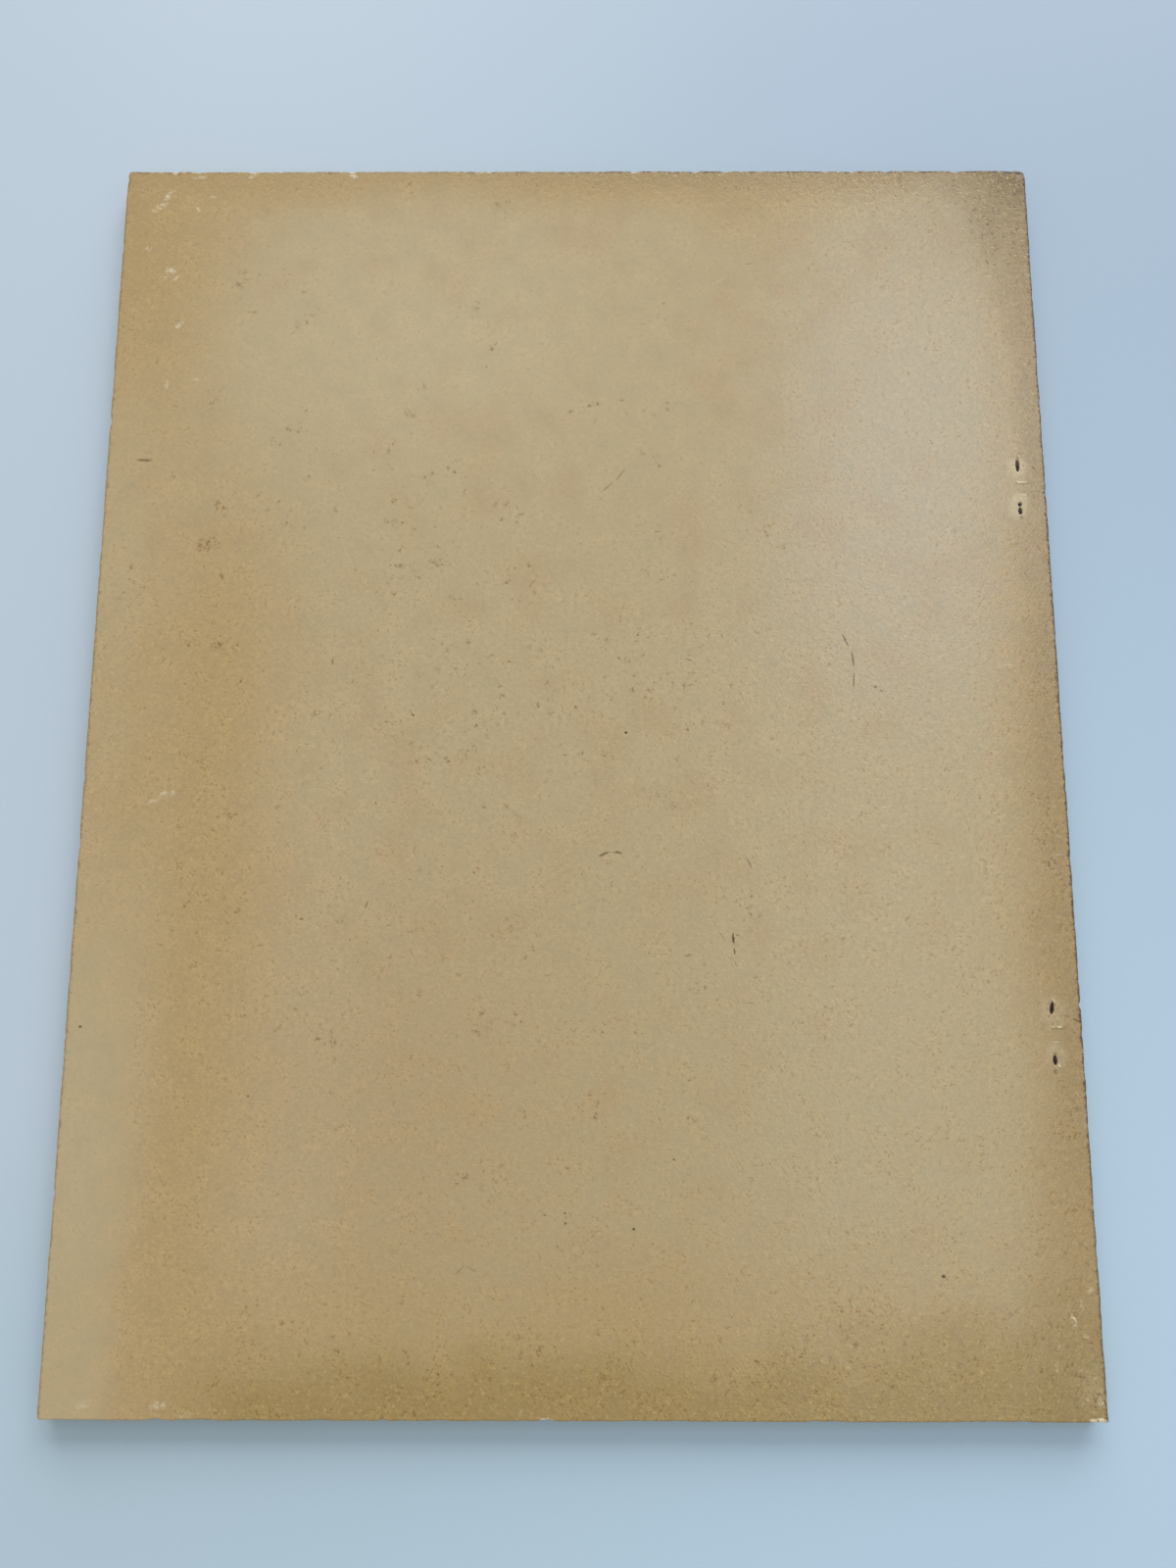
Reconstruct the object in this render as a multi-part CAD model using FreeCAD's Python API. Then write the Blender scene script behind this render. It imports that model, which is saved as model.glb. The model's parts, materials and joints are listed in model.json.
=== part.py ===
import FreeCAD
import Part
import math
import os

# A booklet of letter-size leaves between two card covers, held by two wire
# staples driven through its side margin. It lies on its front cover with the
# back cover up. X runs from the fore-edge to the bound edge, Y from the foot
# to the head, and Z up. The origin is the middle of the front cover's face.
#
# Every leaf and cover is one sheet on the real booklet. The staples clamp its
# bound margin, and the rest of the sheet turns about a bend line beside them,
# so each sheet is made as a margin and a turning panel that meet at that line.

# Sheet sizes, in millimetres
PAGE_WIDTH = 215.9
PAGE_HEIGHT = 279.4
LEAF_COUNT = 40
LEAF_THICKNESS = 0.10
COVER_THICKNESS = 0.50
COVER_CORNER_RADIUS = 1.0

# Binding, in millimetres
STAPLE_INSET = 6.2
BEND_FROM_WIRE = 3.4
BEND_CLEARANCE = 0.02
UPPER_STAPLE_FROM_HEAD = 81.0
LOWER_STAPLE_FROM_FOOT = 76.3

# Staple wire, in millimetres
CROWN_LENGTH = 14.8
CLINCH_LENGTH = 4.0
WIRE_WIDTH = 0.8
WIRE_THICKNESS = 0.5
WIRE_INNER_BEND = 0.2
WIRE_CLEARANCE = 0.02

# How far each leaf turns when the booklet is opened, in degrees. The leaves
# nearest the back cover turn over with it, and the others stay in a low fan.
TURNED_LEAF_COUNT = 20
LYING_FAN_ANGLE = 16.0
TURNED_FROM_ANGLE = 112.0
TURNED_TO_ANGLE = 138.0

# Places that follow from the sizes
STACK_HEIGHT = 2 * COVER_THICKNESS + LEAF_COUNT * LEAF_THICKNESS
FORE_EDGE = -PAGE_WIDTH / 2
BOUND_EDGE = PAGE_WIDTH / 2
FOOT = -PAGE_HEIGHT / 2
HEAD = PAGE_HEIGHT / 2
BACK_COVER_BOTTOM = STACK_HEIGHT - COVER_THICKNESS
STAPLE_X = BOUND_EDGE - STAPLE_INSET
COVER_CREASE = STAPLE_X - WIRE_WIDTH / 2 - BEND_FROM_WIRE
STAPLE_CENTRES = {
    "upper_staple": HEAD - UPPER_STAPLE_FROM_HEAD,
    "lower_staple": FOOT + LOWER_STAPLE_FROM_FOOT,
}


def leaf_bottom(leaf):
    """Height of a leaf's lower face; leaf 1 lies on the front cover."""
    return COVER_THICKNESS + (leaf - 1) * LEAF_THICKNESS


def leaf_open_angle(leaf):
    """How far a leaf has turned when the back cover is fully open."""
    lying = LEAF_COUNT - TURNED_LEAF_COUNT
    if leaf <= lying:
        return LYING_FAN_ANGLE * leaf / lying
    share = (leaf - lying) / TURNED_LEAF_COUNT
    return TURNED_FROM_ANGLE + share * (TURNED_TO_ANGLE - TURNED_FROM_ANGLE)


def leaf_creases():
    """X of each leaf's bend line, by leaf number.

    Sheets that turn together about lines one above another would meet, so
    each bend line stands further from the bound edge than the one above it,
    by the upper sheet's thickness times the tangent of half the turn.
    """
    creases = {}
    crease = COVER_CREASE
    thickness_above = COVER_THICKNESS
    for leaf in range(LEAF_COUNT, 0, -1):
        half_turn = math.radians(leaf_open_angle(leaf)) / 2
        crease -= thickness_above * math.tan(half_turn) + BEND_CLEARANCE
        creases[leaf] = crease
        thickness_above = LEAF_THICKNESS
    return creases


def corner_points(before, corner, after):
    """Where a rounded corner's arc starts, its middle and where it ends, on the flat outline.

    Corners are (u, v, radius), and one with a radius is a right angle.
    """
    u, v, radius = corner
    point = FreeCAD.Vector(u, v, 0)
    back = FreeCAD.Vector(before[0] - u, before[1] - v, 0).normalize()
    ahead = FreeCAD.Vector(after[0] - u, after[1] - v, 0).normalize()
    centre = point + (back + ahead) * radius
    middle = centre - (back + ahead).normalize() * radius
    return point + back * radius, middle, point + ahead * radius


def rounded_face(corners, place):
    """A flat face through corners (u, v, radius); place makes a point in space of a flat one."""
    count = len(corners)
    arcs = []
    for index, corner in enumerate(corners):
        arcs.append(corner_points(corners[index - 1], corner, corners[(index + 1) % count]))
    edges = []
    for index, (start, middle, end) in enumerate(arcs):
        side_start = arcs[index - 1][2]
        edges.append(Part.LineSegment(place(side_start), place(start)).toShape())
        if corners[index][2] > 0:
            edges.append(Part.Arc(place(start), place(middle), place(end)).toShape())
    return Part.Face(Part.Wire(edges))


def plate(corners, bottom, thickness):
    """A flat plate whose outline runs through corners (x, y, radius)."""
    face = rounded_face(corners, lambda flat: FreeCAD.Vector(flat.x, flat.y, bottom))
    return face.extrude(FreeCAD.Vector(0, 0, thickness))


def turning_panel(crease, bottom, thickness, corner_radius):
    """The part of a sheet from its fore-edge to its bend line."""
    corners = [
        (FORE_EDGE, FOOT, corner_radius),
        (crease, FOOT, 0),
        (crease, HEAD, 0),
        (FORE_EDGE, HEAD, corner_radius),
    ]
    return plate(corners, bottom, thickness)


def bound_margin(crease, bottom, thickness, corner_radius, staple_spaces):
    """The part of a sheet from its bend line to the bound edge, pierced by the staples."""
    corners = [
        (crease, FOOT, 0),
        (BOUND_EDGE, FOOT, corner_radius),
        (BOUND_EDGE, HEAD, corner_radius),
        (crease, HEAD, 0),
    ]
    return plate(corners, bottom, thickness).cut(staple_spaces)


def staple(centre_y, grow):
    """A clinched staple, or with grow the space that it takes up in the sheets.

    The crown lies flush in the front cover, the legs go up through the leaves,
    and the clinched ends lie flush in the back cover, pointing at each other.
    """
    side = CROWN_LENGTH / 2 + grow
    low = -grow
    high = STACK_HEIGHT + grow
    wire = WIRE_THICKNESS + 2 * grow
    tip = CROWN_LENGTH / 2 - CLINCH_LENGTH - grow
    inner = WIRE_INNER_BEND - grow
    outer = inner + wire
    corners = [
        (-tip, high, 0),
        (-side, high, outer),
        (-side, low, outer),
        (side, low, outer),
        (side, high, outer),
        (tip, high, 0),
        (tip, high - wire, 0),
        (side - wire, high - wire, inner),
        (side - wire, low + wire, inner),
        (-side + wire, low + wire, inner),
        (-side + wire, high - wire, inner),
        (-tip, high - wire, 0),
    ]
    width = WIRE_WIDTH + 2 * grow
    near_side = STAPLE_X - width / 2
    face = rounded_face(corners, lambda flat: FreeCAD.Vector(near_side, centre_y + flat.x, flat.y))
    return face.extrude(FreeCAD.Vector(width, 0, 0))


def make_staples():
    """The two staples, by name."""
    return {name: staple(centre, 0) for name, centre in STAPLE_CENTRES.items()}


def make_covers(staple_spaces):
    """The panel and the bound margin of both covers, by name."""
    radius = COVER_CORNER_RADIUS
    bottoms = {"front_cover": 0, "back_cover": BACK_COVER_BOTTOM}
    covers = {}
    for name, bottom in bottoms.items():
        covers[name] = turning_panel(COVER_CREASE, bottom, COVER_THICKNESS, radius)
        covers[name + "_margin"] = bound_margin(
            COVER_CREASE, bottom, COVER_THICKNESS, radius, staple_spaces
        )
    return covers


def make_leaves(staple_spaces):
    """Every leaf's panel by name, and all their bound margins as one group."""
    leaves = {}
    margins = []
    for leaf, crease in sorted(leaf_creases().items()):
        bottom = leaf_bottom(leaf)
        leaves[f"leaf_{leaf:02d}"] = turning_panel(crease, bottom, LEAF_THICKNESS, 0)
        margins.append(bound_margin(crease, bottom, LEAF_THICKNESS, 0, staple_spaces))
    solids = [solid for margin in margins for solid in margin.Solids]
    leaves["leaf_margins"] = Part.makeCompound(solids)
    return leaves


def main():
    spaces = [staple(centre, WIRE_CLEARANCE) for centre in STAPLE_CENTRES.values()]
    staple_spaces = Part.makeCompound(spaces)
    pieces = {}
    pieces.update(make_covers(staple_spaces))
    pieces.update(make_leaves(staple_spaces))
    pieces.update(make_staples())
    os.makedirs("parts", exist_ok=True)
    for name, shape in pieces.items():
        if not shape.isValid():
            raise ValueError(f"{name} is not a valid shape")
        shape.exportStep(f"parts/{name}.step")
    print(f"{len(pieces)} pieces, {STACK_HEIGHT:.2f} mm thick")


main()
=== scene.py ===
import json
import math
import random

import bpy
import numpy as np
from mathutils import Euler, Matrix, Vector, noise

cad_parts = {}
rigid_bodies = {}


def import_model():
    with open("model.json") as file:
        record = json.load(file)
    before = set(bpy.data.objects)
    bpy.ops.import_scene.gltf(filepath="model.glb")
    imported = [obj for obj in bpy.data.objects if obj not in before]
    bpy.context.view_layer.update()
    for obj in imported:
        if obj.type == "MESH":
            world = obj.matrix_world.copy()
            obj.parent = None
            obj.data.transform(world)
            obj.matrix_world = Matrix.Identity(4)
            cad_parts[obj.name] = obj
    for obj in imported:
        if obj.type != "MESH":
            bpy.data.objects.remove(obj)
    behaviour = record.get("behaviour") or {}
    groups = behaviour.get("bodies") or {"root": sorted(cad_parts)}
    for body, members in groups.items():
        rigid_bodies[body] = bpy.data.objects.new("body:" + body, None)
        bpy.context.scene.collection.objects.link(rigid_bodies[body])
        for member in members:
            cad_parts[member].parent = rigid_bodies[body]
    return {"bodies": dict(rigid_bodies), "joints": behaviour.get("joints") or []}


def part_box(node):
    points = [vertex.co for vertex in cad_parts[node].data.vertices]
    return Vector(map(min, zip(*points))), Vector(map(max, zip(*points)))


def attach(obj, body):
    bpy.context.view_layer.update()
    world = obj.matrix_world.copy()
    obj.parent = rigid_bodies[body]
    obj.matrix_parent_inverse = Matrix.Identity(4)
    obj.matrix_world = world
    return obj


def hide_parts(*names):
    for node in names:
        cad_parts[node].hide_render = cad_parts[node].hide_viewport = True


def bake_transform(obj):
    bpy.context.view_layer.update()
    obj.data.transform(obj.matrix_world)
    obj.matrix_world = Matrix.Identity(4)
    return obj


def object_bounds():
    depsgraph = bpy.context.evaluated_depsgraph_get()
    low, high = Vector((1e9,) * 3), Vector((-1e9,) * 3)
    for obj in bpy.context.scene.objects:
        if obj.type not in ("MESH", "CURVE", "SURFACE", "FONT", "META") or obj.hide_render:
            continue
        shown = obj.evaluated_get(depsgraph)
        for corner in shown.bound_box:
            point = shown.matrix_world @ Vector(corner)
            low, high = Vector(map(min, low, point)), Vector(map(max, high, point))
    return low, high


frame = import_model()
CAD_LOW, CAD_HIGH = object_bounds()

# An aged side-stapled booklet, lying on its front cover with the back cover up.
# Places on a sheet are given as on the table: millimetres from its left and top
# edges, seen from above. The left edge is the fore-edge and the right one is bound.
MM = 0.001
FORE_EDGE, FOOT = CAD_LOW.x, CAD_LOW.y
BOUND_EDGE, HEAD = CAD_HIGH.x, CAD_HIGH.y
PAGE_WIDTH = (BOUND_EDGE - FORE_EDGE) / MM
PAGE_HEIGHT = (HEAD - FOOT) / MM
PIVOTS = {joint["child"]: Vector(joint["pos_m"]) for joint in frame["joints"]}
LEAVES = sorted(body for body in frame["bodies"] if body.startswith("leaf_"))
STAPLES = ("upper_staple", "lower_staple")

# What the sheets' meshes keep for their finishes
SHEET_PLACE = "sheet_place"
SHEET_AGE = "sheet_age"
SHEET_WEAR = "sheet_wear"
PALE_MARK = "pale_mark"
DARK_MARK = "dark_mark"
FLECK_MARK = "fleck_mark"

# How far the sheets bend beside the staples
LEAF_BEND = 12 * MM

# The worn card of the covers: the grid of its face, its rounded edges and corners, how its edges
# are frayed and hollowed, and how its face cockles
CARD_SPACING = 1.15 * MM
LEAST_SPACING = 0.03 * MM
EDGE_ROUNDING = 0.24 * MM
ROUNDING_STEPS = [step * MM for step in (0.05, 0.13, 0.24, 0.5)]
CORNER_RADII = {
    "top_left": 1.0 * MM,
    "top_right": 1.6 * MM,
    "foot_left": 0.5 * MM,
    "foot_right": 0.5 * MM,
}
WEAR_REACH = 3.0 * MM
FRAY_SIZE = 1.9 * MM
FRAY_DEPTH = 0.24 * MM
HOLLOW_SIZE = 6 * MM
HOLLOW_DEPTH = 0.22 * MM
BROAD_COCKLE_SIZE = 45 * MM
BROAD_COCKLE_HEIGHT = 0.03 * MM
FINE_COCKLE_SIZE = 9 * MM
FINE_COCKLE_HEIGHT = 0.008 * MM
BACK_SEED = 1
FRONT_SEED = 21

# Where a cover's grid is fine: how far to the left and right of the staples' middle line and past
# their ends, and its steps across and along them
FINE_LEFT = 1.7 * MM
FINE_RIGHT = 2.3 * MM
FINE_PAST_END = 1.4 * MM
FINE_STEP_ACROSS = 0.13 * MM
FINE_STEP_ALONG = 0.22 * MM

# Where a staple's bent legs show in the back cover, as slits: how far each starts and stops
# from the staple's outer end, and how far its outer end leans to the right, in millimetres.
# Side 1 is the leg towards the head, and side -1 the leg towards the foot.
LEG_SLITS = {
    "upper_staple": [(1, 0.1, 3.3, 0.0), (-1, 1.3, 2.8, 0.1), (-1, 3.2, 4.0, -0.3)],
    "lower_staple": [(1, 0.7, 3.3, 0.45), (-1, 1.1, 3.1, 0.1)],
}
# A slit goes past brown to nearly black: rust, with painted shade for the hole of the leg
SLIT_STRENGTH = 1.9
SLIT_WIDTH = 0.95
SLIT_OVERRUN = 0.3
SLIT_DEPTH = 0.34 * MM

# The card pressed up round the legs: how far each leg's halo lies from the staple's middle, as a
# share of half its length, how pale the halo is, and its size in millimetres
HALO_PLACES = (0.65, -0.52)
HALO_STRENGTHS = {"upper_staple": 0.5, "lower_staple": 0.2}
HALO_LENGTH = 6.5
HALO_WIDTH = 5.0
HALO_HEIGHT = 0.06 * MM
RIDGE_HEIGHT = 0.10 * MM

# A clear and a faint line that the stapler's anvil pressed between the legs. They lie to the right
# of the staple's middle and on both sides of it, in millimetres.
ANVIL_LINE_STRENGTHS = (1.7, 0.4)
ANVIL_LINE_HEIGHT = 0.07 * MM
ANVIL_LINE_LENGTH = 2.7
ANVIL_LINE_WIDTH = 0.55
ANVIL_LINE_SHIFT = 0.75
ANVIL_LINE_OFFSET = 1.5

# How far the relief of these reaches, where 1 is the outline of the mark. A pair says where the
# relief has run out and where it is full.
HALO_SPREAD = 0.6
RIDGE_SPREAD = 0.8
ANVIL_LINE_SPREAD = 0.7
ANVIL_LINE_ENDS = (1.1, 0.9)
SLIT_WALL = (1.15, 0.7)

# The wall of a crown's bed in the front cover, from the crown's middle line in widths of the wire
CROWN_WALL = (0.8, 0.5)

# The staples' wire, as thick as the card that it lies flush in
WIRE_ROUNDING = 0.2 * MM
WIRE_ROUNDING_POINTS = 3
WIRE_BEND_POINTS = 6
WIRE_STEP = 0.2 * MM
WIRE_SUNK = 0.07 * MM
WIRE_TAPER = 0.035
CLINCH_LENGTH = 3.9 * MM
CLINCH_CROWN = 1.7 * MM
CLINCH_DIP = 0.28 * MM
BEND_DIP = 0.12 * MM

# Loose leaves between the covers, with most of their grid lines where they bend and are held
LEAF_GAP = 0.012 * MM
LEAF_TRIM = 0.45 * MM
LEAF_JITTER = 0.3 * MM
LEAF_GRID = 1.0
LEAF_LINES = 41
LEAF_PANEL_SHARE = 0.2
LEAF_WELD = 0.001 * MM
JITTER_SEED = 11


def srgb(red, green, blue):
    """A colour given as seen on screen, 0 to 255, as the shader takes it."""
    linear = []
    for channel in (red, green, blue):
        level = channel / 255
        linear.append(level / 12.92 if level <= 0.04045 else ((level + 0.055) / 1.055) ** 2.4)
    return (*linear, 1.0)


# Node trees as expressions

# The middle of noise, the directions of crossing fibres in degrees, how much of a mark or a speck
# is full, and how sharply specks are chosen and how strong they are at least
NOISE_MIDDLE = 0.5
FIBRE_TURNS = (5, 62, 121)
MARK_CORE = 0.1
SPECK_CORE = 0.4
SPECK_CHOICE = 0.8
SPECK_LEAST = 0.3


class Value:
    """A node's output, on which sums are written as plain expressions."""

    def __init__(self, tree, socket):
        self.tree = tree
        self.socket = socket

    def __add__(self, other):
        return self.tree.sum("ADD", self, other)

    def __sub__(self, other):
        return self.tree.sum("SUBTRACT", self, other)

    def __rsub__(self, other):
        return self.tree.sum("SUBTRACT", other, self)

    def __mul__(self, other):
        return self.tree.sum("MULTIPLY", self, other)

    def __truediv__(self, other):
        return self.tree.sum("DIVIDE", self, other)

    __radd__ = __add__
    __rmul__ = __mul__


class Tree:
    """A shader or geometry tree, made node by node."""

    def __init__(self, tree):
        self.tree = tree

    def node(self, kind, out, settings=None, sockets=None):
        """Adds one node. Its settings are set first, then its sockets get their values or links.

        A list links several outputs to one socket, and a tuple of names asks for several outputs.
        """
        made = self.tree.nodes.new(kind)
        for name, value in (settings or {}).items():
            setattr(made, name, value)
        for key, value in (sockets or {}).items():
            if not isinstance(value, (Value, list)):
                made.inputs[key].default_value = value
                continue
            for linked in value if isinstance(value, list) else [value]:
                self.tree.links.new(linked.socket, made.inputs[key])
        if isinstance(out, tuple):
            return tuple(Value(self, made.outputs[key]) for key in out)
        return Value(self, made.outputs[out])

    def sum(self, operation, first, second):
        return self.node("ShaderNodeMath", "Value", {"operation": operation}, {0: first, 1: second})

    def held(self, value):
        """The value, kept between 0 and 1."""
        return self.node("ShaderNodeClamp", "Result", None, {"Value": value})

    def rise(self, value, none, full):
        """A soft mask that is 0 where value is at none, and 1 where it is at full."""
        return self.node("ShaderNodeMapRange", "Result", {"interpolation_type": "SMOOTHSTEP"},
                         {"Value": value, "From Min": none, "From Max": full})

    def ranged(self, value, low, high, to_low, to_high):
        """The value, moved evenly from one range into another and held in it."""
        return self.node("ShaderNodeMapRange", "Result", None,
                         {"Value": value, "From Min": low, "From Max": high,
                          "To Min": to_low, "To Max": to_high})

    def split(self, vector):
        return self.node("ShaderNodeSeparateXYZ", ("X", "Y", "Z"), None, {"Vector": vector})

    def joined(self, x, y, z):
        return self.node("ShaderNodeCombineXYZ", "Vector", None, {"X": x, "Y": y, "Z": z})


class Finish(Tree):
    """A material made of one main shader."""

    def __init__(self, name):
        self.material = bpy.data.materials.new(name)
        self.material.use_nodes = True
        super().__init__(self.material.node_tree)
        self.tree.nodes.clear()

    def kept(self, name, out="Vector"):
        """What the mesh keeps under a name."""
        return self.node("ShaderNodeAttribute", out, {"attribute_name": name})

    def cloud(self, place, size, detail=2.0, roughness=0.5, out="Fac", dimensions="2D", twist=0.0):
        """Noise whose patches are about size across, drawn out into strands by a twist."""
        return self.node("ShaderNodeTexNoise", out, {"noise_dimensions": dimensions},
                         {"Vector": place, "Scale": 1 / size, "Detail": detail, "Roughness": roughness,
                          "Distortion": twist})

    def grain(self, place, *noise_values, **settings):
        """Noise like a cloud's, but around 0."""
        return self.cloud(place, *noise_values, **settings) - NOISE_MIDDLE

    def strokes(self, place, length, width, turn):
        """Noise around 0 drawn out into strokes of one direction."""
        cosine, sine = math.cos(math.radians(turn)), math.sin(math.radians(turn))
        along = self.node("ShaderNodeVectorMath", "Value", {"operation": "DOT_PRODUCT"},
                          {0: place, 1: (cosine / length, sine / length, 0.0)})
        across = self.node("ShaderNodeVectorMath", "Value", {"operation": "DOT_PRODUCT"},
                           {0: place, 1: (-sine / width, cosine / width, 0.0)})
        return self.grain(self.joined(along + turn, across, 0.0), size=1.0, detail=1.0)

    def fibres(self, place, length, width):
        """Short crossing fibres: above 0 where a pale one lies on top, and below 0 under a dark one."""
        first, second, third = [self.strokes(place, length, width, turn) for turn in FIBRE_TURNS]
        highest = self.sum("MAXIMUM", self.sum("MAXIMUM", first, second), third)
        lowest = self.sum("MINIMUM", self.sum("MINIMUM", first, second), third)
        return highest + lowest

    def mixed(self, first, second, share):
        """One colour over another."""
        return self.node("ShaderNodeMix", 2, {"data_type": "RGBA"}, {0: share, 6: first, 7: second})

    def shaded(self, colour, share):
        """A colour made darker or lighter by a share around 1."""
        grey = self.joined(share, share, share)
        return self.node("ShaderNodeMix", 2, {"data_type": "RGBA", "blend_type": "MULTIPLY"},
                         {0: 1.0, 6: colour, 7: grey})

    def specks(self, place, size, share, radius):
        """Small scattered flecks, on a share of the cells of that size."""
        distance, colour = self.node("ShaderNodeTexVoronoi", ("Distance", "Color"),
                                     {"voronoi_dimensions": "2D"}, {"Vector": place, "Scale": 1 / size})
        chance, strength, _ = self.split(colour)
        chosen = self.rise(chance, share, share * SPECK_CHOICE)
        shape = self.rise(distance, radius / size, radius / size * SPECK_CORE)
        return shape * chosen * (strength * (1 - SPECK_LEAST) + SPECK_LEAST)

    def marks(self, layer, wander, reach):
        """The strength of a layer of marks, their outlines made uneven by a colour of noise."""
        centred = self.node("ShaderNodeVectorMath", "Vector", {"operation": "SUBTRACT"},
                            {0: wander, 1: (NOISE_MIDDLE, NOISE_MIDDLE, NOISE_MIDDLE)})
        shift = self.node("ShaderNodeVectorMath", "Vector", {"operation": "MULTIPLY"},
                          {0: centred, 1: (reach, reach, 0.0)})
        local = self.node("ShaderNodeVectorMath", "Vector", {"operation": "ADD"},
                          {0: self.kept(layer), 1: shift})
        along, across, strength = self.split(local)
        return self.rise(along * along + across * across, 1.0, MARK_CORE) * strength

    def bump(self, height, depth):
        """A normal from a height map that is depth metres tall."""
        return self.node("ShaderNodeBump", "Normal", None,
                         {"Strength": 1.0, "Distance": depth, "Height": height})

    def finished(self, sockets):
        """Ends the material in its shader."""
        shader = self.node("ShaderNodeBsdfPrincipled", "BSDF", None, sockets)
        self.node("ShaderNodeOutputMaterial", (), None, {"Surface": shader})
        return self.material


class Shape(Tree):
    """A geometry tree with named inputs."""

    def __init__(self, name, inputs):
        self.group = bpy.data.node_groups.new(name, "GeometryNodeTree")
        super().__init__(self.group)
        self.group.interface.new_socket("Geometry", in_out="INPUT", socket_type="NodeSocketGeometry")
        self.identifiers = {}
        for socket_name, kind in inputs.items():
            socket = self.group.interface.new_socket(socket_name, in_out="INPUT", socket_type=kind)
            self.identifiers[socket_name] = socket.identifier
        self.group.interface.new_socket("Geometry", in_out="OUTPUT", socket_type="NodeSocketGeometry")
        given = ("Geometry", *inputs)
        self.inputs = dict(zip(given, self.node("NodeGroupInput", given)))

    def end(self, geometry):
        """Ends the tree: plain geometry with its material."""
        real = self.node("GeometryNodeRealizeInstances", "Geometry", None, {"Geometry": geometry})
        painted = self.node("GeometryNodeSetMaterial", "Geometry", None,
                            {"Geometry": real, "Material": self.inputs["Material"]})
        self.node("NodeGroupOutput", (), None, {"Geometry": painted})

    def made(self, piece, values):
        """Runs the tree on an object with these inputs and leaves the result as its plain mesh."""
        modifier = piece.modifiers.new("shape", "NODES")
        modifier.node_group = self.group
        for name, value in values.items():
            modifier[self.identifiers[name]] = value
        seen = piece.evaluated_get(bpy.context.evaluated_depsgraph_get())
        mesh = bpy.data.meshes.new_from_object(seen)
        piece.modifiers.clear()
        piece.data = mesh
        mesh.name = piece.name


# Age of the covers

# How far smooth noise moves on along each axis from one seed to the next
SEED_STEPS = (7.31, 3.17, 1.93)


def ramp(value, none, full):
    """A soft step over an array: 0 where value is at none, and 1 where it is at full."""
    share = np.clip((value - none) / (full - none), 0, 1)
    return share * share * (3 - 2 * share)


def hump(value, middle, reach):
    """A soft bump over an array, 1 in the middle."""
    return np.exp(-((value - middle) / reach) ** 2)


def ripple(points, size, seed):
    """Smooth noise between -1 and 1 at each point of an array, in patches about size across."""
    offset = Vector([seed * step for step in SEED_STEPS])
    return np.array([noise.noise(Vector(point) / size + offset) for point in points])


def sheet_ripple(left, top, size, seed):
    """Smooth noise over places on a sheet."""
    return ripple(np.stack([left, top, np.zeros_like(left)], 1), size, seed)


def together(*masks):
    """Masks laid over one another, never past 1."""
    clear = 1.0
    for mask in masks:
        clear = clear * (1 - mask)
    return 1 - clear


# Zones of a cover, in millimetres from its left edge (ACROSS), its top (DOWN), its right edge (IN)
# or its foot (UP). Where a zone is a ramp, a pair says where it has faded out and where it is full.
# Where it is a hump, a pair says where its middle is and how far it reaches. BLOTCH and UNEVEN say
# how far noise moves an outline, and SHARE says how strong a zone is.
DRIFT_SIZE = 38
DRIFT_REACH = 9
BLOTCH_SIZE = 9
BLOTCH_REACH = 4

# The strip along the fore-edge that stayed clean
STRIP_WIDTH = 15
STRIP_WIDENING = 0.04
STRIP_SOFTNESS = 3
STRIP_SOFTENING = 0.05
STRIP_BLOTCH = 0.8
STRIP_DOWN = (130, 210)
UPPER_STRIP_SHARE = 0.45
UPPER_STRIP_ACROSS = (12, 6)
UPPER_STRIP_DOWN = (40, 65)


def clean_strip(left, top, blotch, uneven):
    """The strip that stayed clean, wider and softer away from the foot, and faint above."""
    from_foot = PAGE_HEIGHT - top
    edge = STRIP_WIDTH + STRIP_WIDENING * from_foot
    softness = STRIP_SOFTNESS + STRIP_SOFTENING * from_foot
    from_side = left + blotch * STRIP_BLOTCH
    lower = ramp(from_side, edge + softness, edge - softness) * ramp(top + uneven, *STRIP_DOWN)
    upper = ramp(from_side, *UPPER_STRIP_ACROSS) * ramp(top + uneven, *UPPER_STRIP_DOWN)
    return np.maximum(lower, UPPER_STRIP_SHARE * upper)


# Where the card has turned ochre
OCHRE_CORNER_ACROSS = (40, 8)
OCHRE_CORNER_DOWN = (110, 25)
OCHRE_BAND_SHARE = 0.9
OCHRE_BAND_UNEVEN = 0.7
OCHRE_BAND_ACROSS = (27, 17)
OCHRE_BAND_DOWN = (50, 125)
OCHRE_PATCH_SHARE = 0.6
OCHRE_PATCH_ACROSS = (50, 4)
OCHRE_PATCH_DOWN = (148, 42)
OCHRE_EDGE_UNEVEN = 0.5
OCHRE_HEAD_SHARE = 0.85
OCHRE_HEAD_REACH = 13
OCHRE_HEAD_FULL = 1
OCHRE_HEAD_BULGE = 14
OCHRE_HEAD_BULGE_ACROSS = (147, 15)
OCHRE_SIDE_SHARE = 0.9
OCHRE_SIDE_IN = (20, 3)
OCHRE_SIDE_LOSS = 0.4
OCHRE_SIDE_LOSS_DOWN = (72, 32)
OCHRE_BASE_SHARE = 0.7
OCHRE_BASE_UP = (42, 12)
OCHRE_BASE_LOSS = 0.4
OCHRE_BASE_LOSS_ACROSS = (16, 9)
OCHRE_STRIP_LOSS = 0.4


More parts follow.
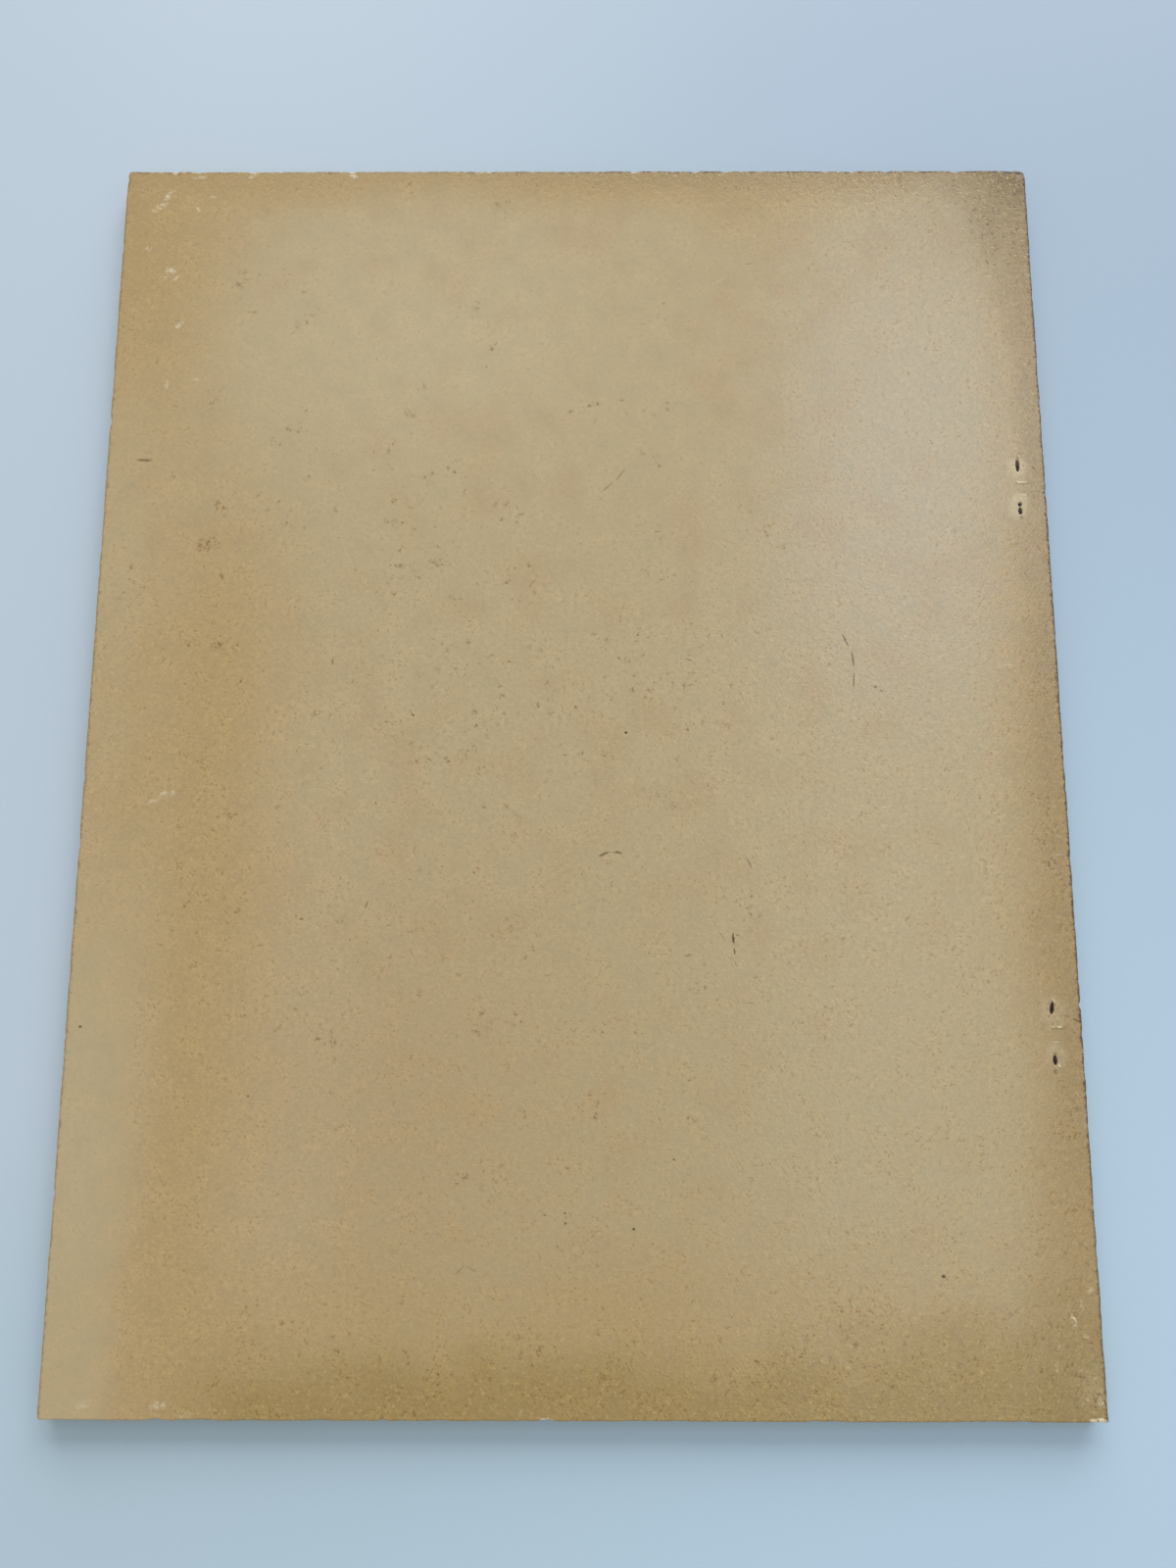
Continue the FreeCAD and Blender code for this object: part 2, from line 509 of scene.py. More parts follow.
def ochre_zones(left, top, blotch, uneven):
    """The upper left corner, a band and a patch at the left, the head, the bound side and the base."""
    edge_uneven = uneven * OCHRE_EDGE_UNEVEN
    corner = ramp(left + uneven, *OCHRE_CORNER_ACROSS) * ramp(top + uneven, *OCHRE_CORNER_DOWN)
    band = hump(left + uneven * OCHRE_BAND_UNEVEN, *OCHRE_BAND_ACROSS)
    band = band * ramp(top + uneven, *OCHRE_BAND_DOWN)
    patch = ramp(left + uneven, *OCHRE_PATCH_ACROSS) * hump(top, *OCHRE_PATCH_DOWN)
    head_reach = OCHRE_HEAD_REACH + OCHRE_HEAD_BULGE * hump(left, *OCHRE_HEAD_BULGE_ACROSS)
    head = ramp(top + edge_uneven, head_reach, OCHRE_HEAD_FULL)
    side = ramp(PAGE_WIDTH - left + edge_uneven, *OCHRE_SIDE_IN)
    side = side * (1 - OCHRE_SIDE_LOSS * hump(top, *OCHRE_SIDE_LOSS_DOWN))
    base = ramp(PAGE_HEIGHT - top + uneven, *OCHRE_BASE_UP)
    base = base * (OCHRE_BASE_SHARE - OCHRE_BASE_LOSS * ramp(left + blotch, *OCHRE_BASE_LOSS_ACROSS))
    return together(corner, band * OCHRE_BAND_SHARE, patch * OCHRE_PATCH_SHARE, head * OCHRE_HEAD_SHARE,
                    side * OCHRE_SIDE_SHARE, base)


# Where it has turned deep ochre. REACH is measured from the upper right corner.
DEEP_FOOT_BLOTCH = 5
DEEP_FOOT_REACH = 19
DEEP_FOOT_FULL = 2
DEEP_FOOT_WIDENING = 13
DEEP_FOOT_WIDENING_ACROSS = (140, 205)
DEEP_FOOT_END_BLOTCH = 4
DEEP_FOOT_ACROSS = (18, 44)
DEEP_LOWER_SHARE = 0.23
DEEP_LOWER_ACROSS = (45, 75)
DEEP_LOWER_DOWN = (110, 250)
DEEP_CORNER_SHARE = 0.95
DEEP_CORNER_REACH = (15, 3)
DEEP_STRIP_LOSS = 0.9
CORNER_BLOTCH = 2


def deep_zones(left, top, blotch, from_corner):
    """The worn foot, the worn upper right corner, and faintly the lower half."""
    foot_reach = DEEP_FOOT_REACH + DEEP_FOOT_WIDENING * ramp(left, *DEEP_FOOT_WIDENING_ACROSS)
    foot = ramp(PAGE_HEIGHT - top + blotch * DEEP_FOOT_BLOTCH, foot_reach, DEEP_FOOT_FULL)
    foot = foot * ramp(left + blotch * DEEP_FOOT_END_BLOTCH, *DEEP_FOOT_ACROSS)
    corner = DEEP_CORNER_SHARE * ramp(from_corner + blotch * CORNER_BLOTCH, *DEEP_CORNER_REACH)
    lower = DEEP_LOWER_SHARE * ramp(top, *DEEP_LOWER_DOWN) * ramp(left, *DEEP_LOWER_ACROSS)
    return together(foot, corner, lower)


# Where it is rosy
ROSY_LEAST = 0.2
ROSY_SPOT_SHARE = 0.6
ROSY_SPOT_ACROSS = (66, 38)
ROSY_SPOT_DOWN = (215, 42)
ROSY_PATCH_SHARE = 0.5
ROSY_PATCH_DRIFT = 0.5
ROSY_PATCH_NOISE = (-0.1, 0.7)
ROSY_STRIP_LOSS = 0.8


def rosy_zones(left, top, drift, blotch):
    """A little all over, a broad spot, and patches of noise."""
    spot = ROSY_SPOT_SHARE * hump(left, *ROSY_SPOT_ACROSS) * hump(top, *ROSY_SPOT_DOWN)
    patches = ROSY_PATCH_SHARE * ramp(blotch - drift * ROSY_PATCH_DRIFT, *ROSY_PATCH_NOISE)
    return together(ROSY_LEAST, spot, patches)


# Where it has turned grey brown. REACH is measured from the upper right corner.
GREY_SHARE = 0.44
GREY_UNEVEN = 0.3
GREY_REACH = (50, 2)
GREY_FALL = 1.2
GREY_TIP_SHARE = 0.3
GREY_TIP_REACH = (9, 2)


def grey_zones(from_corner, blotch, uneven):
    """Broadly towards the upper right corner, and more at its tip."""
    broad = GREY_SHARE * ramp(from_corner + uneven * GREY_UNEVEN, *GREY_REACH) ** GREY_FALL
    return broad + GREY_TIP_SHARE * ramp(from_corner + blotch * CORNER_BLOTCH, *GREY_TIP_REACH)


def cover_age(left, top, seed):
    """How a cover has aged at each place: towards ochre, deep ochre, rosy tan and grey brown."""
    drift = sheet_ripple(left, top, DRIFT_SIZE, seed)
    blotch = sheet_ripple(left, top, BLOTCH_SIZE, seed + 1)
    uneven = drift * DRIFT_REACH + blotch * BLOTCH_REACH
    from_corner = np.hypot(PAGE_WIDTH - left, top)
    strip = clean_strip(left, top, blotch, uneven)
    ochre = ochre_zones(left, top, blotch, uneven) * (1 - strip * OCHRE_STRIP_LOSS)
    deep = deep_zones(left, top, blotch, from_corner) * (1 - strip * DEEP_STRIP_LOSS)
    rosy = rosy_zones(left, top, drift, blotch) * (1 - strip * ROSY_STRIP_LOSS)
    grey = grey_zones(from_corner, blotch, uneven)
    return np.stack([ochre, deep, rosy, grey], 1)


# Wear of the covers

WEAR_BLOTCH_SIZE = 6

# Spots painted paler: strength, and middle and reach from the left and from the top. The edge of a
# staple's halo is given in the halo's own frame, where its outline is at 1.
PALE_SPOTS = [
    (0.20, (75, 46), (45, 32)),
    (0.16, (214, 4), (273, 5)),
]
RUBBED_HALO_EDGE = (1.2, 0.5)
RUBBED_HALO_BLOTCH = 0.5


def paler_places(left, top, blotch, halos):
    """Where a cover is paler: in broad spots, and in a halo round each staple's legs."""
    paler = np.zeros_like(left)
    for strength, across, down in PALE_SPOTS:
        paler = np.maximum(paler, strength * hump(left, *across) * hump(top, *down))
    for halo in halos:
        along, across = in_mark(left, top, halo)
        from_middle = np.hypot(along, across) + blotch * RUBBED_HALO_BLOTCH
        paler = np.maximum(paler, halo[0] * ramp(from_middle, *RUBBED_HALO_EDGE))
    return paler


# How rough the card is, as a share of its full grain: everywhere, and more with age, in its lower
# part, at the upper right, towards the bound side and with grime
ROUGH_LEAST = 0.30
ROUGH_LOWER = 0.28
ROUGH_LOWER_DOWN = (55, 125)
ROUGH_OCHRE = 0.35
ROUGH_OCHRE_LOWER_LOSS = 0.2
ROUGH_DEEP = 0.45
ROUGH_GREY = 1.1
ROUGH_UPPER = 0.39
ROUGH_UPPER_IN = (75, 30)
ROUGH_UPPER_DOWN = (120, 60)
ROUGH_SIDE = 0.16
ROUGH_SIDE_IN = (80, 50)
ROUGH_GRIME = 0.3
SMOOTH_STRIP_ACROSS = (18, 12)
SMOOTH_STRIP_DOWN = (150, 200)


def roughened(left, top, blotch, age):
    """How rough a cover's card is with age, all but a smooth strip along the fore-edge."""
    right = PAGE_WIDTH - left
    ochre, deep, _, grey = age.T
    lower = ramp(top, *ROUGH_LOWER_DOWN)
    smooth = ramp(left + blotch, *SMOOTH_STRIP_ACROSS) * ramp(top, *SMOOTH_STRIP_DOWN)
    with_ochre = (ROUGH_OCHRE - ROUGH_OCHRE_LOWER_LOSS * lower) * ochre
    aged = ROUGH_LOWER * lower + with_ochre + ROUGH_DEEP * deep
    upper = ramp(right, *ROUGH_UPPER_IN) * ramp(top, *ROUGH_UPPER_DOWN)
    side = ramp(right, *ROUGH_SIDE_IN) * lower
    return ROUGH_LEAST + aged * (1 - smooth) + ROUGH_GREY * grey + ROUGH_UPPER * upper + ROUGH_SIDE * side


# Grime along the bound edge, how much further it reaches at some heights, and grime along the head
GRIME_REACH = 9
GRIME_WIDENINGS = [(6, (90, 150)), (14, (45, 5)), (8, (215, 260))]
GRIME_FULL = 1
GRIME_BLOTCH = 3
GRIME_LOSS = 0.35
GRIME_LOSS_DOWN = (205, 245)
HEAD_GRIME_DOWN = (9, 0)
HEAD_GRIME_BLOTCH = 2
HEAD_GRIME_LEAST = 0.35
HEAD_GRIME_ACROSS = (60, 140)


def edge_grime(left, top, blotch):
    """Grime that hands have left along the bound edge, and along the head towards the bound edge."""
    reach = GRIME_REACH
    for widening, down in GRIME_WIDENINGS:
        reach = reach + widening * ramp(top, *down)
    side = ramp(PAGE_WIDTH - left + blotch * GRIME_BLOTCH, reach, GRIME_FULL)
    side = side * (1 - GRIME_LOSS * ramp(top, *GRIME_LOSS_DOWN))
    head = ramp(top + blotch * HEAD_GRIME_BLOTCH, *HEAD_GRIME_DOWN)
    head = head * (HEAD_GRIME_LEAST + (1 - HEAD_GRIME_LEAST) * ramp(left, *HEAD_GRIME_ACROSS))
    return together(side, head)


def cover_wear(left, top, age, seed, halos):
    """How a cover differs at each place: paler in spots and halos, roughened with age, and grimy at its
    edges.
    """
    blotch = sheet_ripple(left, top, WEAR_BLOTCH_SIZE, seed + 2)
    paler = paler_places(left, top, blotch, halos)
    grime = edge_grime(left, top, blotch)
    rough = roughened(left, top, blotch, age) + ROUGH_GRIME * grime
    return np.stack([paler, rough, grime], 1)


# Marks on the back cover

# Each mark is its strength, left, top, length, width and turn in degrees. Past a strength of 1, a
# scratch goes on from brown to black, and fibres break up a scuff less.
ACROSS_PAGE = 0
DOWN_PAGE = 90
SCUFFS = [
    (0.75, 10.2, 6.6, 4.6, 1.6, -50),
    (0.65, 8.8, 9.2, 3.4, 2.6, -20),
    (0.40, 7.0, 10.4, 2.8, 1.4, -20),
    (0.70, 11.8, 26.2, 3.2, 2.8, 30),
    (0.55, 13.2, 28.0, 2.8, 1.6, -35),
    (0.40, 10.2, 28.2, 2.2, 1.5, 0),
    (0.40, 6.2, 20.4, 2.0, 1.8, 0),
    (0.60, 14.6, 40.2, 3.2, 1.8, -40),
    (0.45, 12.6, 55.2, 1.5, 3.4, 10),
    (0.35, 19.6, 54.2, 2.2, 1.6, 0),
    (0.55, 18.4, 152.0, 5.2, 2.0, -15),
    (0.40, 15.6, 153.4, 3.0, 1.4, 0),
    (0.75, 17.6, 1.7, 3.4, 1.2, -8),
    (0.45, 11.4, 0.6, 2.4, 0.8, 0),
    (0.75, 30.2, 1.4, 2.8, 1.3, -25),
    (0.75, 54.3, 1.4, 2.8, 1.4, 20),
    (0.40, 20.8, 6.9, 2.4, 0.9, 5),
    (0.55, 17.4, 10.2, 2.6, 0.9, 50),
    (0.35, 9.2, 276.4, 4.2, 2.2, -15),
    (0.55, 24.4, 276.6, 3.8, 1.9, 0),
    (0.25, 29.6, 278.2, 4.4, 2.0, 0),
    (1.60, 102.8, 279.0, 3.0, 0.8, 0),
    (0.30, 97.6, 277.6, 2.0, 1.0, -60),
    (1.00, 210.0, 260.0, 1.5, 3.0, -12),
    (0.32, 209.4, 257.6, 1.0, 2.2, -10),
    (0.30, 212.0, 257.2, 1.0, 3.2, -10),
    (0.22, 212.0, 259.8, 1.0, 3.4, -12),
    (0.45, 214.0, 254.4, 1.4, 2.0, 0),
    (0.38, 212.3, 263.0, 1.6, 1.1, 15),
    (0.20, 206.9, 262.4, 1.5, 2.2, 0),
    (0.22, 206.6, 264.9, 1.1, 2.0, -20),
    (0.34, 206.1, 269.0, 1.1, 2.8, 10),
    (0.36, 212.0, 274.9, 1.0, 1.1, 0),
    (0.42, 214.6, 275.2, 1.6, 2.6, 0),
    (2.60, 213.9, 278.9, 4.0, 1.1, -3),
    (0.60, 204.4, 122.6, 5.2, 0.45, -9),
    (0.40, 184.0, 150.4, 7.5, 0.45, 3),
    (0.34, 176.5, 154.6, 6.5, 0.40, -6),
    (0.55, 213.4, 165.0, 3.2, 0.40, -4),
    (0.30, 141.0, 29.5, 5.0, 0.40, -30),
]
# Ridges that the staples' legs pushed up: raised in the relief, and painted pale as a highlight on their
# tops
RIDGES = [
    (1.50, 209.9, 195.9, 1.9, 0.6, 57),
    (1.20, 210.5, 209.6, 1.1, 0.5, 58),
    (0.80, 209.9, 72.9, 1.2, 0.8, 90),
    (0.60, 211.5, 82.9, 1.0, 0.4, 90),
]
SCRATCHES = [
    (0.64, 8.6, 74.0, 5.0, 0.9, 2),
    (0.34, 115.4, 80.6, 4.6, 0.6, -42),
    (0.34, 118.4, 77.6, 4.2, 0.6, -54),
    (0.75, 168.6, 116.8, 4.4, 0.5, 66),
    (0.75, 170.2, 121.2, 5.4, 0.5, 84),
    (0.65, 170.2, 126.0, 4.6, 0.5, 93),
    (0.60, 175.0, 127.6, 0.9, 0.8, 0),
    (0.45, 176.2, 128.5, 1.0, 0.6, 30),
    (1.20, 119.4, 138.0, 0.9, 0.8, 0),
    (0.70, 114.6, 164.9, 3.4, 0.75, -22),
    (0.70, 117.2, 164.5, 3.6, 0.75, 10),
    (0.30, 115.4, 167.0, 1.6, 0.6, 0),
    (1.15, 142.3, 183.0, 3.0, 0.65, 88),
    (0.80, 142.5, 185.8, 2.0, 0.5, 84),
    (0.55, 143.2, 182.4, 0.7, 0.6, 0),
    (0.35, 142.7, 188.4, 1.4, 0.4, 80),
    (0.50, 146.0, 166.8, 3.4, 0.5, 62),
    (0.42, 63.2, 176.0, 1.9, 0.8, 105),
    (0.90, 3.2, 201.8, 0.9, 0.7, 0),
    (0.60, 39.6, 216.0, 0.8, 0.7, 0),
    (0.75, 106.4, 239.4, 0.7, 0.7, 0),
    (0.75, 106.5, 241.4, 0.7, 0.8, 0),
    (0.60, 102.2, 239.8, 0.8, 0.6, 0),
    (0.90, 120.6, 242.5, 0.9, 0.7, 30),
    (0.65, 129.0, 228.7, 0.7, 0.7, 0),
    (1.15, 184.0, 251.6, 1.1, 1.0, 0),
    (0.45, 210.3, 258.5, 0.8, 0.5, 20),
    (0.40, 209.6, 273.8, 1.0, 0.5, 15),
    (0.40, 209.8, 276.6, 0.6, 0.6, 0),
    (0.35, 208.2, 259.8, 0.8, 0.4, 20),
    (0.50, 49.2, 179.0, 0.7, 0.6, 0),
    (0.55, 133.6, 121.4, 2.2, 0.5, 18),
    (0.30, 149.0, 24.6, 2.2, 0.6, -8),
    (0.35, 84.8, 250.6, 3.4, 0.4, -44),
    (0.35, 87.2, 250.4, 3.0, 0.4, 28),
    (0.85, 214.8, 200.2, 2.2, 0.40, 28),
    (0.40, 212.6, 199.3, 2.6, 0.36, 14),
    (0.80, 213.4, 76.0, 1.2, 0.40, 42),
    (0.50, 209.9, 87.8, 1.2, 0.9, 90),
    (0.30, 209.2, 196.6, 1.5, 0.7, 80),
    (0.42, 209.6, 210.6, 1.6, 0.9, 80),
    (0.30, 209.7, 207.0, 1.9, 1.0, 0),
    (0.30, 210.5, 81.8, 2.3, 0.40, 0),
    (0.30, 210.4, 204.3, 2.2, 0.40, 0),
    (0.55, 211.0, 167.0, 1.8, 0.6, 92),
    (0.55, 212.4, 166.6, 1.7, 0.6, 88),
    (0.50, 211.7, 165.8, 1.6, 0.55, 0),
    (0.50, 211.7, 168.0, 1.6, 0.55, 0),
    (1.05, 200.1, 0.4, 1.8, 1.2, 0),
    (0.75, 202.9, 0.4, 2.6, 1.0, 0),
    (0.85, 207.0, 0.4, 1.6, 1.2, 0),
    (1.05, 208.5, 0.4, 1.8, 1.3, 0),
    (1.20, 211.8, 0.5, 3.0, 1.5, 5),
    (1.10, 214.2, 0.8, 2.2, 1.4, 20),
]
SMUDGES = [
    (0.48, 24.2, 94.4, 7.6, 4.2, -12),
    (0.45, 26.8, 85.2, 4.6, 3.2, 70),
    (0.45, 27.8, 118.2, 3.6, 2.4, -20),
    (0.42, 69.6, 62.4, 3.4, 2.6, 40),
    (0.35, 82.2, 107.0, 2.6, 1.0, -25),
    (0.35, 71.0, 100.4, 2.4, 1.4, 30),
    (0.30, 84.6, 112.6, 2.6, 0.9, 18),
    (0.35, 93.0, 121.8, 4.4, 0.6, 8),
    (0.42, 77.6, 98.6, 6.4, 2.6, 4),
    (0.36, 214.5, 2.5, 14.0, 9.0, 90),
]

# Fields of faint smudges in small groups: how many groups, the middle and spread of their
# places from the left and from the top, and the smudges' least and greatest length and strength
SMUDGE_FIELDS = [
    (110, (88, 34), (130, 50), (0.9, 2.8), (0.16, 0.52)),
    (14, (28, 11), (95, 45), (1.2, 3.4), (0.15, 0.38)),
    (40, (125, 50), (200, 40), (0.8, 2.4), (0.15, 0.4)),
    (60, (125, 55), (269, 7), (0.9, 3.2), (0.12, 0.36)),
]
GROUP_SMUDGES = (2, 10)
GROUP_SPREAD = 2.4
SMUDGE_WIDTH_SHARES = (0.3, 0.7)
DOT_COUNT = 300
DOT_LENGTHS = (0.35, 0.75)
DOT_WIDTH_SHARE = 0.8
DOT_STRENGTHS = (0.12, 0.42)
ANY_TURN = (0, 180)
FLECK_SEED = 5


def scattered_flecks():
    """Faint brown smudges in a few fields of the back cover, and small dots all over it."""
    draw = random.Random(FLECK_SEED)
    flecks = list(SMUDGES)
    for count, left, top, lengths, strengths in SMUDGE_FIELDS:
        for _ in range(count):
            middle = (draw.gauss(*left), draw.gauss(*top))
            for _ in range(draw.randint(*GROUP_SMUDGES)):
                length = draw.uniform(*lengths)
                width = length * draw.uniform(*SMUDGE_WIDTH_SHARES)
                place = [draw.gauss(value, GROUP_SPREAD) for value in middle]
                flecks.append((draw.uniform(*strengths), *place, length, width, draw.uniform(*ANY_TURN)))
    for _ in range(DOT_COUNT):
        length = draw.uniform(*DOT_LENGTHS)
        size = (length, length * DOT_WIDTH_SHARE)
        place = (draw.uniform(0, PAGE_WIDTH), draw.uniform(0, PAGE_HEIGHT))
        flecks.append((draw.uniform(*DOT_STRENGTHS), *place, *size, draw.uniform(*ANY_TURN)))
    return flecks


# Frayed threads at the upper right corner: how many, with their least and greatest strength, how
# far they spread from the right and from the top, and their size
DARK_THREADS = (90, 0.3, 0.75)
PALE_THREADS = (50, 0.1, 0.24)
THREAD_SPREAD = (8, 12)
THREAD_LENGTHS = (0.8, 2.0)
THREAD_WIDTH = 0.4
THREAD_SEED = 9


def frayed_threads(count, weakest, strongest):
    """Short thin fibres, close together at the upper right corner and fewer away from it."""
    draw = random.Random(THREAD_SEED + count)
    threads = []
    for _ in range(count):
        in_from_right, top = [abs(draw.gauss(0, spread)) for spread in THREAD_SPREAD]
        place = (PAGE_WIDTH - in_from_right, top)
        size = (draw.uniform(*THREAD_LENGTHS), THREAD_WIDTH)
        threads.append((draw.uniform(weakest, strongest), *place, *size, draw.uniform(*ANY_TURN)))
    return threads


def on_sheet(x, y):
    """A point of the frame as millimetres from the sheet's left and top edges."""
    return (x - FORE_EDGE) / MM, (HEAD - y) / MM


def staple_middle(name):
    """The middle of a staple across and along the booklet, and half its length."""
    low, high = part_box(name)
    return (low.x + high.x) / 2, (low.y + high.y) / 2, (high.y - low.y) / 2


def slit_marks():
    """The dark slit where each bent leg shows in the back cover, painted as rust and as the shade in the
    hole that the leg sinks into.
    """
    marks = []
    for name in STAPLES:
        low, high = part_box(name)
        for side, start, stop, lean in LEG_SLITS[name]:
            left, outer_end = on_sheet((low.x + high.x) / 2, high.y if side > 0 else low.y)
            top = outer_end + side * (start + stop) / 2
            turn = math.degrees(math.atan2(-side * (stop - start), lean))
            marks.append((SLIT_STRENGTH, left, top, stop - start + SLIT_OVERRUN, SLIT_WIDTH, turn))
    return marks


def anvil_marks():
    """A clear and a faint pale line that the anvil pressed between each staple's legs."""
    marks = []
    for name in STAPLES:
        x, y, _ = staple_middle(name)
        left, top = on_sheet(x, y)
        left += ANVIL_LINE_SHIFT
        for strength, offset in zip(ANVIL_LINE_STRENGTHS, (-ANVIL_LINE_OFFSET, ANVIL_LINE_OFFSET)):
            marks.append((strength, left, top + offset, ANVIL_LINE_LENGTH, ANVIL_LINE_WIDTH, ACROSS_PAGE))
    return marks


def halo_marks():
    """The pale pressed card round each staple's legs."""
    marks = []
    for name in STAPLES:
        x, y, half = staple_middle(name)
        for share in HALO_PLACES:
            place = on_sheet(x, y + half * share)
            marks.append((HALO_STRENGTHS[name], *place, HALO_LENGTH, HALO_WIDTH, DOWN_PAGE))
    return marks


def in_mark(left, top, mark):
    """Places in a mark's own frame, where its outline is 1 from its middle."""
    _, mark_left, mark_top, length, width, turn = mark
    cosine, sine = math.cos(math.radians(turn)), math.sin(math.radians(turn))
    across_page, down_page = left - mark_left, top - mark_top
    along = (across_page * cosine + down_page * sine) / (length / 2)
    across = (down_page * cosine - across_page * sine) / (width / 2)
    return along, across


def keep(mesh, name, values, kind="FLOAT_VECTOR", domain="POINT", field="vector"):
    """Keeps an array on a mesh, for its finish to read."""
    attribute = mesh.attributes.new(name, kind, domain)
    attribute.data.foreach_set(field, values.ravel())


# How far past its outline a face still belongs to a mark, in millimetres
MARK_REACH = 2.5


def keep_marks(mesh, name, marks, corner_left, corner_top):
    """Keeps at each face's corners where they lie in the frame of the mark nearest to that face.

    The third number is the mark's strength. Faces after the outer ones have no marks.
    """
    layer = np.zeros((len(mesh.loops), 3), np.float32)
    outer = np.zeros((*corner_left.shape, 3), np.float32)
    middle_left, middle_top = corner_left.mean(1), corner_top.mean(1)
    nearest = np.full(len(corner_left), MARK_REACH)
    for mark in marks:
        along, across = in_mark(middle_left, middle_top, mark)
        gap = (np.hypot(along, across) - 1) * min(mark[3], mark[4]) / 2
        chosen = gap < nearest
        nearest[chosen] = gap[chosen]
        along, across = in_mark(corner_left[chosen], corner_top[chosen], mark)
        outer[chosen] = np.stack([along, across, np.full_like(along, mark[0])], 2)
    layer[:corner_left.size] = outer.reshape(-1, 3)
    keep(mesh, name, layer, domain="CORNER")


# Covers

# Nicks in the back cover's edges: how far along, width and depth, in millimetres
NICKS = {
    "fore_edge": [(20, 1.2, 0.3), (64.5, 1.8, 0.4), (148, 1.4, 0.3), (163, 1.0, 0.3), (236, 1.3, 0.3)],
    "bound_edge": [(33, 1.2, 0.3), (60, 1.0, 0.25), (134, 1.0, 0.15), (166, 0.8, 0.4), (197, 1.2, 0.3)],
    "head": [(11.5, 1.6, 0.3), (17.5, 2.4, 0.35), (29.5, 1.6, 0.35), (53.8, 1.8, 0.35), (122, 1.5, 0.35),
             (136.5, 1.4, 0.4), (144, 1.2, 0.35), (174, 1.4, 0.35), (182.7, 1.2, 0.3), (199, 2.2, 0.3)],
    "foot": [(24, 1.6, 0.3), (70, 1.4, 0.3), (103, 2.0, 0.35), (157, 1.5, 0.3), (199, 1.6, 0.35)],
}


def grid_lines(low, high, fine):
    """Places of grid lines, close at both ends and in each fine stretch, given by start, end and step."""
    lines = [low, high]
    for step in ROUNDING_STEPS:
        lines += [low + step, high - step]
    count = round((high - low) / CARD_SPACING)
    lines += [low + (high - low) * index / count for index in range(1, count)]
    for start, end, step in fine:
        lines = [line for line in lines if not start < line < end]
        lines += list(np.arange(start, end, step))
    lines.sort()
    kept = [lines[0]]
    for line in lines[1:-1]:
        if min(line - kept[-1], lines[-1] - line) > LEAST_SPACING:
            kept.append(line)
    return np.array(kept + [lines[-1]])


def edge_wear(along, edge, seed, nicks):
    """How far an edge is worn back at each place along it."""
    points = np.stack([along, np.zeros_like(along), np.zeros_like(along)], 1)
    worn = np.abs(ripple(points, FRAY_SIZE, seed)) * FRAY_DEPTH
    worn += np.maximum(ripple(points, HOLLOW_SIZE, seed + 1), 0) * HOLLOW_DEPTH
    for middle, width, depth in nicks.get(edge, ()):
        worn += depth * MM * hump(along, middle * MM, width / 2 * MM)
    return worn


def rounded_corners(x, y, low, high):
    """Draws in a sheet's square corners to their radii."""
    corners = {
        "foot_left": (low.x, low.y, 1, 1),
        "foot_right": (high.x, low.y, -1, 1),
        "top_left": (low.x, high.y, 1, -1),
        "top_right": (high.x, high.y, -1, -1),
    }
    for name, (corner_x, corner_y, inward_x, inward_y) in corners.items():
        radius = CORNER_RADII[name]
        across = 1 - (x - corner_x) * inward_x / radius
        along = 1 - (y - corner_y) * inward_y / radius
        inside = (across > 0) & (along > 0)
        new_across = across * np.sqrt(1 - np.clip(along, 0, 1) ** 2 / 2)
        new_along = along * np.sqrt(1 - np.clip(across, 0, 1) ** 2 / 2)
        x = np.where(inside, corner_x + (1 - new_across) * radius * inward_x, x)
        y = np.where(inside, corner_y + (1 - new_along) * radius * inward_y, y)
    return x, y


def leg_relief(x, y):
    """How the staples' bent legs and the stapler's anvil shape the back cover's face."""
    left, top = on_sheet(x, y)
    relief = np.zeros_like(x)
    for halo in halo_marks():
        along, across = in_mark(left, top, halo)
        relief += HALO_HEIGHT * hump(np.hypot(along, across), 0, HALO_SPREAD)
    for slit in slit_marks():
        along, across = in_mark(left, top, slit)
        relief -= SLIT_DEPTH * ramp(np.hypot(along, across), *SLIT_WALL)
    for ridge in RIDGES:
        along, across = in_mark(left, top, ridge)
        relief += ridge[0] * RIDGE_HEIGHT * hump(np.hypot(along, across), 0, RIDGE_SPREAD)
    for line in anvil_marks():
        along, across = in_mark(left, top, line)
        line_height = line[0] * ANVIL_LINE_HEIGHT * hump(across, 0, ANVIL_LINE_SPREAD)
        relief += line_height * ramp(np.abs(along), *ANVIL_LINE_ENDS)
    return relief


def crown_relief(x, y):
    """The shallow bed that each staple's crown has pressed into the front cover's face."""
    relief = np.zeros_like(x)
    for name in STAPLES:
        low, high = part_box(name)
        middle_x, middle_y, half = staple_middle(name)
        past_end = np.maximum(np.abs(y - middle_y) - half, 0)
        reach = np.hypot(past_end, x - middle_x) / (high.x - low.x)
        relief -= SLIT_DEPTH * ramp(reach, *CROWN_WALL)
    return relief


def staple_stretches():
    """Stretches where a cover's grid is fine: across the staples and along them."""
    middle, _, _ = staple_middle(STAPLES[0])
    across = [(middle - FINE_LEFT, middle + FINE_RIGHT, FINE_STEP_ACROSS)]
    along = []
    for name in STAPLES:
        low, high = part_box(name)
        along.append((low.y - FINE_PAST_END, high.y + FINE_PAST_END, FINE_STEP_ALONG))
    return across, along


